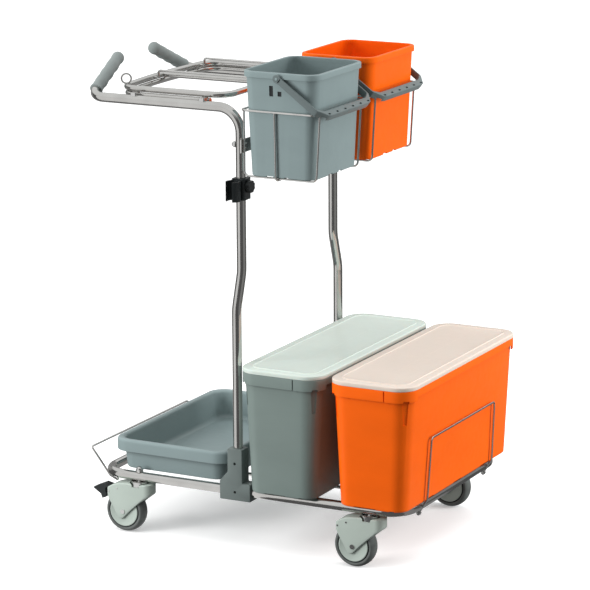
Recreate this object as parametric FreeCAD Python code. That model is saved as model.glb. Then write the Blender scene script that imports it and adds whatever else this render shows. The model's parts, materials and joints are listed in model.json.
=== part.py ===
import FreeCAD, Part
import math
import os

from FreeCAD import Vector as V

# Two-box cleaning trolley. Millimetres, +Z up, floor at z = 0.
# X runs from the push handles (-X) to the mop boxes (+X); "near" is -Y, "far" is +Y.
# Positions are written from the middle of the base frame and moved by ORIGIN_SHIFT_X
# on export, so that the origin lies on the floor below the middle of the whole trolley.
ORIGIN_SHIFT_X = 9.8

# Base frame and uprights: stainless tube
TUBE_R = 11.0
TUBE_WALL = 1.5
BASE_HALF_X = 387.0
BASE_HALF_Y = 254.0
BASE_Z = 134.7
BASE_CORNER_R = 60.0
RAIL_TOP = BASE_Z + TUBE_R
RAIL_BOTTOM = BASE_Z - TUBE_R
ROD_R = 4.0
ROD_YS = (-148.0, -50.0, 50.0, 148.0)
UPRIGHT_X = -28.8
UPRIGHT_LOW_Y = 253.1
UPRIGHT_HIGH_Y = 227.6
JOG_LOW_Z = 559.0
JOG_HIGH_Z = 639.0
HANDLE_Z = 1010.0
HANDLE_BEND_R = 55.0
HANDLE_CORNER = (-413.0, 1010.0)
GRIP_END = (-428.0, 71.0, 1083.0)
GRIP_R = 15.0
GRIP_WAVE = 0.9
GRIP_START = 40.0

# Moulded T connectors between the base tubes and the uprights
CONN_HALF_FOOT = 39.0
CONN_HALF_NECK = 18.7
CONN_BOTTOM = 115.5
CONN_SHOULDER = 158.0
CONN_TOP = 236.0
CONN_HALF_DEPTH = 17.0
FIT = 0.05
CONN_SCREWS = ((14.0, 228.0), (14.0, 178.0), (31.0, 152.5), (31.0, 120.6))

# Waste-bag frame between the handle bars
BAG_R = 7.0
BAG_Z = 1032.0
BAG_RIGHT = -76.0
BAG_LEFT = -346.0
BAG_BOW = 14.0
BAG_HALF_Y = 205.0
BAG_CORNER_R = 40.0
BRACKET_R = 6.0
BRACKET_Z = 1018.8
BRACKET_HALF_Y = 209.0
CLIP_XS = (-300.0, -124.0)
WIRE_R = 2.5
CLAMP_RISE = 17.0
CLAMP_YS = {"near": -50.0, "far": 155.0}

# Small buckets and their wire holders
BUCKET_X = (-11.8, 177.5)
BUCKET_HALF_Y = 122.7
BUCKET_Y = 138.7
BUCKET_TOP = 1101.8
BUCKET_BOTTOM = 865.3
BUCKET_RIM_H = 14.0
BUCKET_WALL = 2.5
BUCKET_SLOTS = ((-23.6, 9.3, 1048.0, 1071.5), (-3.0, 9.4, 1049.0, 1060.0))
BUCKET_FOOT_MARKS = ((-36.8, 18.0), (6.6, 11.5))
HOLDER_Z = 1013.0
HOLDER_X = (-12.3, 175.8)
HOLDER_HALF_Y = 119.3
HOLDER_FLOOR_Z = 862.5
HOLDER_WIRE_X = 72.5
CRADLE_R = 2.3
WELD_BITE = 1.0
CROSS_BAR = (3.0, 500.0, 30.0)
HOLDER_BOLT_Z = 929.0
BAIL_PIVOT_Z = 1089.0
BAIL_REACH = 132.0
BAIL_DROP_DEG = 36.0
BAIL_THICK = 4.0
BAIL_WIDTH = 16.0
BAIL_CORNER = 22.0
BAIL_NOTCHES = 6
BAIL_NOTCH_PITCH = 38.2
BAIL_NOTCH_LENGTH = 10.0
PIN_R = 4.0

# Large mop boxes with lids
BOX_X = {"grey": (-7.7, 198.0), "orange": (216.7, 422.4)}
BOX_HALF_Y = 300.5
BOX_BOTTOM = 146.0
BOX_TOP = 425.7
BOX_RIM_H = 26.0
BOX_WALL = 3.0
BOX_CORNER_R = 45.0
BOX_DRAFT_X = 20.5
BOX_DRAFT_Y = 12.5
BOX_FOOT_MARKS = ((64.0, 53.0), (149.5, 12.5))
LID_GAP = 0.3
LID_H = 9.5

# Tray
TRAY_X = (-364.0, -57.0)
TRAY_HALF_Y = 254.0
TRAY_BOTTOM = 146.0
TRAY_TOP = 218.0
TRAY_RIM_H = 29.0

# Wire guards
GUARD_FOOT_Y = 177.0
GUARD_TOP = (416.4, 172.0, 294.0)
TRAY_GUARD = (-432.0, 228.0, 181.0)

# Broom clip on the near upright
CLIP_Z = (806.0, 854.0)
JAW_R = 13.0
JAW_WALL = 4.0
JAW_CENTRE = (-31.8, -258.6)
JAW_MOUTH = 19.0
JAW_TURN = 75
CLIP_BACK = 16.0
CLIP_FRONT = 17.5
KNOB_Z = 836.0

# Swivel casters
CASTER_XS = {"rear": -288.0, "front": 305.0}
CASTER_YS = {"near": -254.0, "far": 254.0}
WHEEL_R = 50.0
WHEEL_HALF = 16.0
TYRE_DROP = 6.0
TRAIL = 35.0
HOUSING_HALF = 21.3
WELL_HALF = 17.8
WELL_R = 53.0
HOUSING_TOP = 119.6
AXLE_R = 4.0
BRAKE_PIVOT = (-72.0, 95.0)
BRAKE_DEG = 12

SIDES = {"near": -1.0, "far": 1.0}
nodes = {}


def unit(vector):
    return V(vector).multiply(1.0 / vector.Length)


def path_edges(points, radii, closed=False):
    """Straight runs joined by tangent arcs, one radius for each corner."""
    count = len(points)
    corners = range(count) if closed else range(1, count - 1)
    starts = {}
    ends = {}
    arcs = {}
    for index in corners:
        corner = points[index]
        back = unit(points[index - 1] - corner)
        ahead = unit(points[(index + 1) % count] - corner)
        half = back.getAngle(ahead) / 2
        reach = radii[index] / math.tan(half)
        first = corner + back * reach
        last = corner + ahead * reach
        centre = corner + unit(back + ahead) * (radii[index] / math.sin(half))
        middle = centre + unit(corner - centre) * radii[index]
        starts[index] = first
        ends[index] = last
        arcs[index] = Part.Arc(first, middle, last).toShape()
    edges = []
    legs = range(count) if closed else range(count - 1)
    for index in legs:
        following = (index + 1) % count
        leave = ends.get(index, points[index])
        arrive = starts.get(following, points[following])
        edges.append(Part.LineSegment(leave, arrive).toShape())
        if following in arcs:
            edges.append(arcs[following])
    return edges


def bend(points, radii, radius, wall=0.0, closed=False):
    """Round rod or tube along a path of straight runs and arcs."""
    edges = path_edges(points, radii, closed)
    run = edges[0]
    start = run.valueAt(run.FirstParameter)
    heading = run.tangentAt(run.FirstParameter)
    rim = Part.Wire(Part.Circle(start, heading, radius).toShape())
    face = Part.Face(rim)
    if wall:
        bore = Part.Wire(Part.Circle(start, heading, radius - wall).toShape())
        face = face.cut(Part.Face(bore)).Faces[0]
    swept = Part.Wire(edges).makePipe(face)
    return swept.Solids[0]


def rounded(x0, x1, y0, y1, z, radius):
    """Closed outline of a rectangle with round corners at height z."""
    points = [V(x0, y0, z), V(x1, y0, z), V(x1, y1, z), V(x0, y1, z)]
    return Part.Wire(path_edges(points, [radius] * 4, True))


def slab(x0, x1, y0, y1, z0, z1, radius):
    outline = rounded(x0, x1, y0, y1, z0, radius)
    return Part.Face(outline).extrude(V(0, 0, z1 - z0))


def taper(low, high):
    """Solid between two rounded rectangles, each given as (x0, x1, y0, y1, z, radius)."""
    return Part.makeLoft([rounded(*low), rounded(*high)], True, True)


def inset(outline, dx, dy, z, radius):
    x0, x1, y0, y1 = outline[:4]
    return (x0 + dx, x1 - dx, y0 + dy, y1 - dy, z, radius)


def box(x0, x1, y0, y1, z0, z1):
    return Part.makeBox(x1 - x0, y1 - y0, z1 - z0, V(x0, y0, z0))


def rod(start, end, radius):
    return Part.makeCylinder(radius, (end - start).Length, start, end - start)


def prism(points, y0, y1):
    """Outline in the XZ plane, extruded from y0 to y1."""
    corners = [V(x, y0, z) for x, z in points]
    outline = Part.makePolygon(corners + corners[:1])
    return Part.Face(outline).extrude(V(0, y1 - y0, 0))


def cap_nut(base, direction, radius, hex_height, flat_radius):
    """Hexagon nut with a domed cap, standing on base."""
    nut = rod(base, base + direction * hex_height, flat_radius)
    dome_centre = base + direction * hex_height
    dome = Part.makeSphere(radius, dome_centre)
    keep = rod(dome_centre - direction * hex_height, dome_centre + direction * (radius * 2), radius * 2)
    return nut.fuse(dome.common(keep)).removeSplitter()


def add(name, shape):
    nodes[name] = shape


def guard_wires():
    top_x, top_y, top_z = GUARD_TOP
    foot = V(408.2, GUARD_FOOT_Y, 151.0)
    toe = V(389.4, GUARD_FOOT_Y, 120.5)
    top = V(top_x, top_y, top_z)
    points = [toe, foot, top]
    mirrored = [V(p.x, -p.y, p.z) for p in reversed(points)]
    box_guard = bend(points + mirrored, [0, 7, 9, 9, 7, 0], WIRE_R)
    toes = [V(toe.x, -toe.y, toe.z), toe]

    far_x, far_y, far_z = TRAY_GUARD
    under = RAIL_BOTTOM - 6.7
    points = [
        V(-349.0, 249.8, RAIL_BOTTOM - FIT),
        V(-349.0, 249.8, under),
        V(-386.0, 223.5, under),
        V(far_x, far_y, far_z),
    ]
    mirrored = [V(p.x, -p.y, p.z) for p in reversed(points)]
    tray_guard = bend(points + mirrored, [0, 3.5, 5, 6, 6, 5, 3.5, 0], WIRE_R)
    add("box_guard", box_guard)
    add("tray_guard", tray_guard)

    slope = unit(foot - toe)
    nuts = []
    for point in toes:
        heading = V(slope.x, 0, slope.z)
        nuts.append(cap_nut(V(point), heading * -1, 4.6, 5.0, 5.4))
    add("guard_nuts", Part.makeCompound(nuts))
    holes = []
    for point in toes:
        holes.append(rod(V(point.x, point.y, point.z) - slope * 4, V(foot.x, point.y, foot.z), WIRE_R + FIT))
    return holes


def base_frame():
    holes = guard_wires()
    seat_gap = 0.5
    corners = {"rear": -BASE_HALF_X, "front": BASE_HALF_X}
    stem_holes = []
    for x in CASTER_XS.values():
        for y in CASTER_YS.values():
            stem_holes.append(rod(V(x, y, RAIL_BOTTOM - 5), V(x, y, RAIL_TOP + 5), 6.0 + FIT))
    tubes = {}
    for name, end_x in corners.items():
        inner = UPRIGHT_X + math.copysign(seat_gap, end_x)
        points = [
            V(inner, -BASE_HALF_Y, BASE_Z),
            V(end_x, -BASE_HALF_Y, BASE_Z),
            V(end_x, BASE_HALF_Y, BASE_Z),
            V(inner, BASE_HALF_Y, BASE_Z),
        ]
        tube = bend(points, [0, BASE_CORNER_R, BASE_CORNER_R, 0], TUBE_R, TUBE_WALL)
        tubes[name] = tube.cut(stem_holes + holes)
    add("base_tube_rear", tubes["rear"])
    add("base_tube_front", tubes["front"])

    rods = []
    rod_z = RAIL_TOP - ROD_R
    for y in ROD_YS:
        bar = rod(V(-BASE_HALF_X, y, rod_z), V(BASE_HALF_X, y, rod_z), ROD_R)
        for end_x in corners.values():
            bar = bar.cut(rod(V(end_x, y - 20, BASE_Z), V(end_x, y + 20, BASE_Z), TUBE_R))
        rods.append(max(bar.Solids, key=lambda solid: solid.Volume))
    add("support_rods", Part.makeCompound(rods))


def handle_points(side):
    corner_x, corner_z = HANDLE_CORNER
    end_x, end_y, end_z = GRIP_END
    return [
        V(UPRIGHT_X, side * UPRIGHT_LOW_Y, RAIL_TOP + 1.0),
        V(UPRIGHT_X, side * UPRIGHT_LOW_Y, JOG_LOW_Z),
        V(UPRIGHT_X, side * UPRIGHT_HIGH_Y, JOG_HIGH_Z),
        V(UPRIGHT_X, side * UPRIGHT_HIGH_Y, HANDLE_Z),
        V(corner_x, side * UPRIGHT_HIGH_Y, corner_z),
        V(end_x, side * end_y, end_z),
    ]


def grip(points):
    """Moulded hand grip with finger waves, pushed over the end of the tube."""
    heading = unit(points[-1] - points[-2])
    start = points[-2] + heading * GRIP_START
    end = points[-1]
    length = (end - start).Length
    steps = 24
    straight = length - GRIP_R
    waves = []
    for step in range(steps + 1):
        along = 2.0 + (straight - 2.0) * step / steps
        radius = GRIP_R - GRIP_WAVE + GRIP_WAVE * math.cos(2 * math.pi * 4 * step / steps)
        waves.append(V(radius, 0, along))
    curve = Part.BSplineCurve()
    curve.interpolate(waves)
    bore_r = TUBE_R + FIT
    corners = [V(waves[-1]), V(bore_r, 0, straight), V(bore_r, 0, 0), V(GRIP_R - 1.5, 0, 0), V(waves[0])]
    edges = [curve.toShape()]
    for first, last in zip(corners, corners[1:]):
        edges.append(Part.LineSegment(first, last).toShape())
    sleeve = Part.Face(Part.Wire(edges)).revolve(V(0, 0, 0), V(0, 0, 1), 360)
    nose = Part.makeSphere(GRIP_R, V(0, 0, straight))
    nose = nose.common(Part.makeCylinder(GRIP_R + 1, GRIP_R + 6, V(0, 0, straight - 5)))
    nose = nose.cut(Part.makeCylinder(bore_r, 4, V(0, 0, straight - 8)))
    body = sleeve.fuse(nose).removeSplitter()
    body.Placement = FreeCAD.Placement(start, FreeCAD.Rotation(V(0, 0, 1), heading))
    return body


def handle_frames():
    for side_name, side in SIDES.items():
        points = handle_points(side)
        heading = unit(points[-1] - points[-2])
        tube_points = points[:-1] + [points[-1] - heading * (GRIP_R + 8.0)]
        radii = [0, 70.0, 70.0, HANDLE_BEND_R, 34.0, 0]
        tube = bend(tube_points, radii, TUBE_R, TUBE_WALL)
        bolt = rod(
            V(UPRIGHT_X - 30, side * UPRIGHT_HIGH_Y, HOLDER_BOLT_Z),
            V(UPRIGHT_X + 30, side * UPRIGHT_HIGH_Y, HOLDER_BOLT_Z),
            PIN_R + FIT,
        )
        add("handle_frame_" + side_name, tube.cut(bolt))
        add("grip_" + side_name, grip(points))


def connectors():
    screws = []
    for side_name, side in SIDES.items():
        y = side * BASE_HALF_Y
        foot = slab(
            UPRIGHT_X - CONN_HALF_FOOT, UPRIGHT_X + CONN_HALF_FOOT,
            y - CONN_HALF_DEPTH, y + CONN_HALF_DEPTH, CONN_BOTTOM, CONN_SHOULDER, 4.0,
        )
        neck = slab(
            UPRIGHT_X - CONN_HALF_NECK, UPRIGHT_X + CONN_HALF_NECK,
            y - CONN_HALF_DEPTH, y + CONN_HALF_DEPTH, CONN_SHOULDER - 5, CONN_TOP, 4.0,
        )
        block = foot.fuse(neck).removeSplitter()
        rail = rod(V(-200, y, BASE_Z), V(200, y, BASE_Z), TUBE_R + FIT)
        post_y = side * UPRIGHT_LOW_Y
        post = rod(V(UPRIGHT_X, post_y, RAIL_TOP), V(UPRIGHT_X, post_y, CONN_TOP + 5), TUBE_R + FIT)
        cuts = [rail, post]
        outer_y = y + side * CONN_HALF_DEPTH
        for z in (202.0, 136.0):
            cuts.append(rod(V(UPRIGHT_X, outer_y + side, z), V(UPRIGHT_X, y, z), 2.6))
        for offset, z in CONN_SCREWS:
            for hand in (-1, 1):
                x = UPRIGHT_X + hand * offset
                top = V(x, outer_y, z)
                inward = V(0, -side, 0)
                cuts.append(rod(top - inward, top + inward * 3.0, 3.6))
                cuts.append(rod(top - inward, top + inward * 28.1, 1.8))
                head = rod(top + inward * 0.6, top + inward * 3.0, 3.4)
                socket = rod(top, top + inward * 1.8, 1.3)
                shank = rod(top + inward * 2.5, top + inward * 28.0, 1.75)
                screws.append(head.fuse(shank).cut(socket).removeSplitter())
        block = block.cut(cuts)
        middle = box(-300, 300, min(y, outer_y + side * 9), max(y, outer_y + side * 9), 0, 400)
        add("connector_%s_outer" % side_name, block.common(middle))
        add("connector_%s_inner" % side_name, block.cut(middle))
    add("connector_screws", Part.makeCompound(screws))


def bag_frame():
    ring_points = [
        V(BAG_RIGHT, -BAG_HALF_Y, BAG_Z),
        V(BAG_LEFT, -BAG_HALF_Y, BAG_Z),
        V(BAG_LEFT - BAG_BOW, 0, BAG_Z),
        V(BAG_LEFT, BAG_HALF_Y, BAG_Z),
        V(BAG_RIGHT, BAG_HALF_Y, BAG_Z),
    ]
    ring = bend(ring_points, [BAG_CORNER_R, BAG_CORNER_R, 1500.0, BAG_CORNER_R, BAG_CORNER_R], BAG_R, 0, True)
    middle = rod(V(BAG_LEFT - BAG_BOW + 3, 0, BAG_Z), V(BAG_RIGHT, 0, BAG_Z), BAG_R - 0.5)
    frame = ring.fuse(middle).removeSplitter()
    eyelet_x = BAG_LEFT - 4
    eyelet = Part.makeTorus(11.0, 2.0, V(eyelet_x, -BAG_HALF_Y + 28, BAG_Z + BAG_R + 9.0), V(0.45, -0.89, 0))
    frame = frame.fuse(eyelet).removeSplitter()
    holes = []
    for side_name, y in CLAMP_YS.items():
        left = clamp_left(y)
        axis_start = V(left - 12, y, BAG_Z)
        holes.append(rod(axis_start, V(left + 14, y, BAG_Z), WIRE_R + FIT))
        holes.append(rod(V(BAG_RIGHT - 14, y, BAG_Z), V(BAG_RIGHT + 2, y, BAG_Z), WIRE_R + FIT))
        right_x = BAG_RIGHT - 18
        points = [
            V(left - 8, y, BAG_Z),
            V(left + 18, y, BAG_Z),
            V(left + 18, y, BAG_Z + CLAMP_RISE),
            V(right_x, y, BAG_Z + CLAMP_RISE),
            V(right_x, y, BAG_Z),
            V(BAG_RIGHT, y, BAG_Z),
        ]
        add("sack_clamp_" + side_name, bend(points, [0, 6, 6, 6, 6, 0], WIRE_R))
    add("bag_frame", frame.cut(holes))

    inner = 4.0
    points = [
        V(CLIP_XS[1] + 10, -BRACKET_HALF_Y, BRACKET_Z),
        V(BAG_LEFT + inner, -BRACKET_HALF_Y, BRACKET_Z),
        V(BAG_LEFT - BAG_BOW + inner, 0, BRACKET_Z),
        V(BAG_LEFT + inner, BRACKET_HALF_Y, BRACKET_Z),
        V(CLIP_XS[1] + 10, BRACKET_HALF_Y, BRACKET_Z),
    ]
    add("bag_bracket", bend(points, [0, BAG_CORNER_R, 1500.0, BAG_CORNER_R, 0], BRACKET_R))

    clips = []
    for side in SIDES.values():
        bar_y = side * UPRIGHT_HIGH_Y
        rod_y = side * BRACKET_HALF_Y
        frame_y = side * BAG_HALF_Y
        tubes = [
            rod(V(-400, bar_y, HANDLE_Z), V(0, bar_y, HANDLE_Z), TUBE_R + FIT),
            rod(V(-400, rod_y, BRACKET_Z), V(0, rod_y, BRACKET_Z), BRACKET_R + FIT),
            rod(V(-400, frame_y, BAG_Z), V(0, frame_y, BAG_Z), BAG_R + FIT),
        ]
        for x in CLIP_XS:
            low_y = min(side * 234.0, side * 212.5)
            high_y = max(side * 234.0, side * 212.5)
            block = slab(x - 7, x + 7, low_y, high_y, 1013.0, 1027.0, 2.0).cut(tubes)
            clips.append(max(block.Solids, key=lambda solid: solid.Volume))
    add("bracket_clips", Part.makeCompound(clips))


def clamp_left(y):
    """Centre line of the bowed left side of the bag frame at y."""
    return BAG_LEFT - BAG_BOW * (1 - abs(y) / BAG_HALF_Y)


def bucket_holders():
    x0, x1 = HOLDER_X
    for side_name, side in SIDES.items():
        y = side * BUCKET_Y
        hoop_points = [
            V(x0, y - HOLDER_HALF_Y, HOLDER_Z),
            V(x1, y - HOLDER_HALF_Y, HOLDER_Z),
            V(x1, y + HOLDER_HALF_Y, HOLDER_Z),
            V(x0, y + HOLDER_HALF_Y, HOLDER_Z),
        ]
        wires = bend(hoop_points, [16.0] * 4, WIRE_R, 0, True)
        for offset in (-102.0, 102.0):
            points = [
                V(x0, y + offset, HOLDER_Z),
                V(x0, y + offset, HOLDER_FLOOR_Z),
                V(x1 - 9.0, y + offset, HOLDER_FLOOR_Z),
                V(x1, y + offset, HOLDER_Z),
            ]
            wires = wires.fuse(bend(points, [0, 12, 12, 0], CRADLE_R))
        low_half = HOLDER_HALF_Y - 5.0
        under = HOLDER_FLOOR_Z - 2 * CRADLE_R + WELD_BITE
        points = [
            V(HOLDER_WIRE_X, y - HOLDER_HALF_Y, HOLDER_Z),
            V(HOLDER_WIRE_X, y - low_half, under),
            V(HOLDER_WIRE_X, y + low_half, under),
            V(HOLDER_WIRE_X, y + HOLDER_HALF_Y, HOLDER_Z),
        ]
        wires = wires.fuse(bend(points, [0, 12, 12, 0], CRADLE_R))
        add("bucket_holder_" + side_name, wires.removeSplitter())

    thick, length, height = CROSS_BAR
    bar_x = UPRIGHT_X + TUBE_R
    bar = box(bar_x, bar_x + thick, -length / 2, length / 2, HOLDER_BOLT_Z - height / 2, HOLDER_BOLT_Z + height / 2)
    bolts = []
    for side in SIDES.values():
        y = side * UPRIGHT_HIGH_Y
        inner = V(bar_x + thick, y, HOLDER_BOLT_Z)
        bar = bar.cut(rod(inner - V(10, 0, 0), inner + V(10, 0, 0), PIN_R + FIT))
        head = rod(inner, inner + V(4.5, 0, 0), 7.0)
        shank = rod(inner - V(2 * TUBE_R + thick, 0, 0), inner, PIN_R)
        outer = V(UPRIGHT_X - TUBE_R, y, HOLDER_BOLT_Z)
        nut = cap_nut(outer, V(-1, 0, 0), 5.8, 5.0, 7.0)
        bolts.append(head.fuse([shank, nut]).removeSplitter())
    add("holder_cross_bar", bar)
    add("holder_bolts", Part.makeCompound(bolts))


def bucket(side):
    y = side * BUCKET_Y
    rim = (BUCKET_X[0], BUCKET_X[1], y - BUCKET_HALF_Y, y + BUCKET_HALF_Y)
    low = inset(rim, 14.0, 13.0, BUCKET_BOTTOM, 24.0)
    high = inset(rim, 4.5, 4.5, BUCKET_TOP, 26.0)
    outside = taper(low, high)
    wall = BUCKET_WALL
    inner_low = inset(rim, 14.0 + wall, 13.0 + wall, BUCKET_BOTTOM + 3.0, 22.0)
    inner_high = inset(rim, 4.5 + wall, 4.5 + wall, BUCKET_TOP + 0.01, 24.0)
    inside = taper(inner_low, inner_high)
    skirt_low = BUCKET_TOP - BUCKET_RIM_H
    collar = slab(*rim, skirt_low, BUCKET_TOP, 30.0)
    collar = collar.makeFillet(2.5, top_edges(collar, BUCKET_TOP))
    groove = slab(
        rim[0] + 2.2, rim[1] - 2.2, rim[2] + 2.2, rim[3] - 2.2, skirt_low - 1, BUCKET_TOP - 2.5, 28.0,
    )
    shell = outside.fuse(collar.cut(groove)).cut(inside)

    middle_x = (rim[0] + rim[1]) / 2
    cuts = []
    for hand in (-1, 1):
        face_y = y + hand * (BUCKET_HALF_Y - 6.6)
        for slot_x, width, slot_low, slot_high in BUCKET_SLOTS:
            left = middle_x + slot_x
            cuts.append(box(left, left + width, face_y - 2, face_y + 2, slot_low, slot_high))
        for offset, width in BUCKET_FOOT_MARKS:
            edge_y = y + hand * (BUCKET_HALF_Y - 12)
            cuts.append(box(middle_x + offset, middle_x + offset + width, edge_y - 6, edge_y + 6,
                            BUCKET_BOTTOM - 1, BUCKET_BOTTOM + 2))
        edge_x = middle_x + hand * 82
        for offset in (-62, 40):
            cuts.append(box(edge_x - 6, edge_x + 6, y + offset, y + offset + 20,
                            BUCKET_BOTTOM - 1, BUCKET_BOTTOM + 2))
    shell = shell.cut(cuts)
    pins = []
    for hand in (-1, 1):
        wall_y = y + hand * (BUCKET_HALF_Y - 6.5)
        tip_y = y + hand * (BUCKET_HALF_Y + 1.2)
        end_y = y + hand * (BUCKET_HALF_Y + 6.8)
        boss = rod(V(middle_x, wall_y, BAIL_PIVOT_Z), V(middle_x, tip_y, BAIL_PIVOT_Z), 9.0)
        pin = rod(V(middle_x, wall_y, BAIL_PIVOT_Z), V(middle_x, end_y, BAIL_PIVOT_Z), PIN_R)
        pins.extend([boss, pin])
    return shell.fuse(pins).removeSplitter()


def top_edges(solid, z):
    """Outer edges of a solid that lie flat at height z."""
    edges = []
    for edge in solid.Edges:
        box_ = edge.BoundBox
        if abs(box_.ZMin - z) < 1e-6 and abs(box_.ZMax - z) < 1e-6:
            edges.append(edge)
    return edges


def plate(points, low, high):
    """Flat plate with a straight-sided plan outline."""
    corners = [V(x, y, low) for x, y in points]
    return Part.Face(Part.makePolygon(corners + corners[:1])).extrude(V(0, 0, high - low))


def bail(side):
    """Carrying handle: two flat arms and a notched grip bar with cut corners, hanging to +X."""
    y = side * BUCKET_Y
    middle_x = (BUCKET_X[0] + BUCKET_X[1]) / 2
    inner = BUCKET_HALF_Y + 1.6
    outer = inner + BAIL_THICK
    parts = []
    for hand in (-1, 1):
        low_y = min(y + hand * inner, y + hand * outer)
        arm = box(0, BAIL_REACH, low_y, low_y + BAIL_THICK, -BAIL_WIDTH / 2, BAIL_WIDTH / 2)
        eye = rod(V(0, low_y, 0), V(0, low_y + BAIL_THICK, 0), BAIL_WIDTH / 2 + 1.5)
        parts.extend([arm, eye])
    bar = box(BAIL_REACH - 9, BAIL_REACH + 9, y - outer, y + outer, -BAIL_WIDTH / 2, BAIL_WIDTH / 2)
    bar = bar.makeFillet(2.5, [edge for edge in bar.Edges if edge.BoundBox.YLength > 100])
    bar_front = BAIL_REACH + 9
    bar_back = BAIL_REACH - 9
    corners = []
    for hand in (-1, 1):
        tip = y + hand * (outer + 1)
        cut_y = y + hand * (outer - BAIL_CORNER)
        corners.append(plate([(bar_front - BAIL_CORNER - 1, tip), (bar_front + 1, tip), (bar_front + 1, cut_y - hand)],
                             -BAIL_WIDTH, BAIL_WIDTH))
        seat_y = y + hand * (inner + 0.5)
        gusset = [(bar_back - 20, seat_y), (bar_back + 1, seat_y), (bar_back + 1, y + hand * (inner - 20))]
        parts.append(plate(gusset, -1.0, BAIL_WIDTH / 2))
    solid = parts[0].fuse(parts[1:] + [bar]).cut(corners).removeSplitter()
    trough = box(BAIL_REACH - 6, BAIL_REACH + 6, y - inner + 6, y + inner - 6, -BAIL_WIDTH, -1.0)
    cuts = [trough, rod(V(0, y - 200, 0), V(0, y + 200, 0), PIN_R + FIT)]
    half = BAIL_NOTCH_LENGTH / 2
    for index in range(BAIL_NOTCHES):
        notch_y = y + (index - (BAIL_NOTCHES - 1) / 2) * BAIL_NOTCH_PITCH
        cuts.append(box(BAIL_REACH, BAIL_REACH + 4, notch_y - half, notch_y + half, BAIL_WIDTH / 2 - 1.5, BAIL_WIDTH))
    solid = solid.cut(cuts)
    turn = FreeCAD.Rotation(V(0, 1, 0), BAIL_DROP_DEG)
    solid.Placement = FreeCAD.Placement(V(middle_x, 0, BAIL_PIVOT_Z), turn)
    return solid


def buckets():
    for side_name, side in SIDES.items():
        add("bucket_" + side_name, bucket(side))
        add("bail_" + side_name, bail(side))


def mop_box(x0, x1):
    rim = (x0, x1, -BOX_HALF_Y, BOX_HALF_Y)
    low = inset(rim, BOX_DRAFT_X, BOX_DRAFT_Y, BOX_BOTTOM, 32.0)
    high = inset(rim, 5.0, 5.0, BOX_TOP, 40.0)
    outside = taper(low, high)
    wall = BOX_WALL
    inner_low = inset(rim, BOX_DRAFT_X + wall, BOX_DRAFT_Y + wall, BOX_BOTTOM + 4.0, 29.0)
    inner_high = inset(rim, 5.0 + wall, 5.0 + wall, BOX_TOP + 0.01, 37.0)
    inside = taper(inner_low, inner_high)
    skirt_low = BOX_TOP - BOX_RIM_H
    collar = slab(*rim, skirt_low, BOX_TOP, BOX_CORNER_R)
    groove = slab(
        rim[0] + 3, rim[1] - 3, rim[2] + 3, rim[3] - 3, skirt_low - 1, BOX_TOP - 3.0, BOX_CORNER_R - 3,
    )
    ribs = []
    for hand in (-1, 1):
        x_edge = (x0 + x1) / 2 + hand * ((x1 - x0) / 2 - 3.2)
        x_wall = (x0 + x1) / 2 + hand * ((x1 - x0) / 2 - 12)
        for end in (-1, 1):
            y = end * (BOX_HALF_Y - 62)
            rib = prism([(x_edge, skirt_low), (x_wall, skirt_low), (x_wall, skirt_low - 46)], y - 3, y + 3)
            ribs.append(rib)
    for end in (-1, 1):
        for offset in (-48.0, 48.0):
            x = (x0 + x1) / 2 + offset
            edge = end * (BOX_HALF_Y - 3.2)
            back = end * (BOX_HALF_Y - 12)
            corners = [V(x - 2.5, edge, skirt_low), V(x - 2.5, back, skirt_low), V(x - 2.5, back, skirt_low - 20)]
            outline = Part.makePolygon(corners + corners[:1])
            ribs.append(Part.Face(outline).extrude(V(5, 0, 0)))
    shell = outside.fuse([collar.cut(groove)] + ribs).cut(inside)

    cuts = []
    for end in (-1, 1):
        edge_y = end * (BOX_HALF_Y - BOX_DRAFT_Y)
        for start, width in BOX_FOOT_MARKS:
            cuts.append(box(x0 + start, x0 + start + width, edge_y - 9, edge_y + 9,
                            BOX_BOTTOM - 1, BOX_BOTTOM + 3))
    for hand in (-1, 1):
        edge_x = (x0 + x1) / 2 + hand * ((x1 - x0) / 2 - BOX_DRAFT_X)
        for centre in (-150.0, 0.0, 150.0):
            cuts.append(box(edge_x - 9, edge_x + 9, centre - 22, centre + 22, BOX_BOTTOM - 1, BOX_BOTTOM + 3))
    return shell.cut(cuts).removeSplitter()


def lid(x0, x1):
    low = BOX_TOP + LID_GAP
    high = low + LID_H
    rim = (x0, x1, -BOX_HALF_Y, BOX_HALF_Y)
    cap = slab(*rim, low, high, BOX_CORNER_R)
    cap = cap.makeFillet(3.0, top_edges(cap, high))
    ridge_outline = (x0 + 20, x1 - 20, -BOX_HALF_Y + 20, BOX_HALF_Y - 20)
    ridge = slab(*ridge_outline, high - 1, high + 1.8, BOX_CORNER_R - 14)
    ridge = ridge.makeFillet(1.2, top_edges(ridge, high + 1.8))
    panel = slab(x0 + 24, x1 - 24, -BOX_HALF_Y + 24, BOX_HALF_Y - 24, high + 0.4, high + 5, BOX_CORNER_R - 18)
    hollow = slab(x0 + 2.2, x1 - 2.2, -BOX_HALF_Y + 2.2, BOX_HALF_Y - 2.2, low - 1, high - 2.2, BOX_CORNER_R - 2)
    lip_outer = slab(x0 + 9, x1 - 9, -BOX_HALF_Y + 9, BOX_HALF_Y - 9, low - 9, high - 1.5, 38.0)
    lip_inner = slab(x0 + 11, x1 - 11, -BOX_HALF_Y + 11, BOX_HALF_Y - 11, low - 10, high - 2.2, 36.0)
    lip = lip_outer.cut(lip_inner)
    return cap.cut(hollow).fuse([lip, ridge]).cut(panel).removeSplitter()


def boxes():
    for colour, (x0, x1) in BOX_X.items():
        add("box_" + colour, mop_box(x0, x1))
        add("lid_" + colour, lid(x0, x1))


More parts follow.
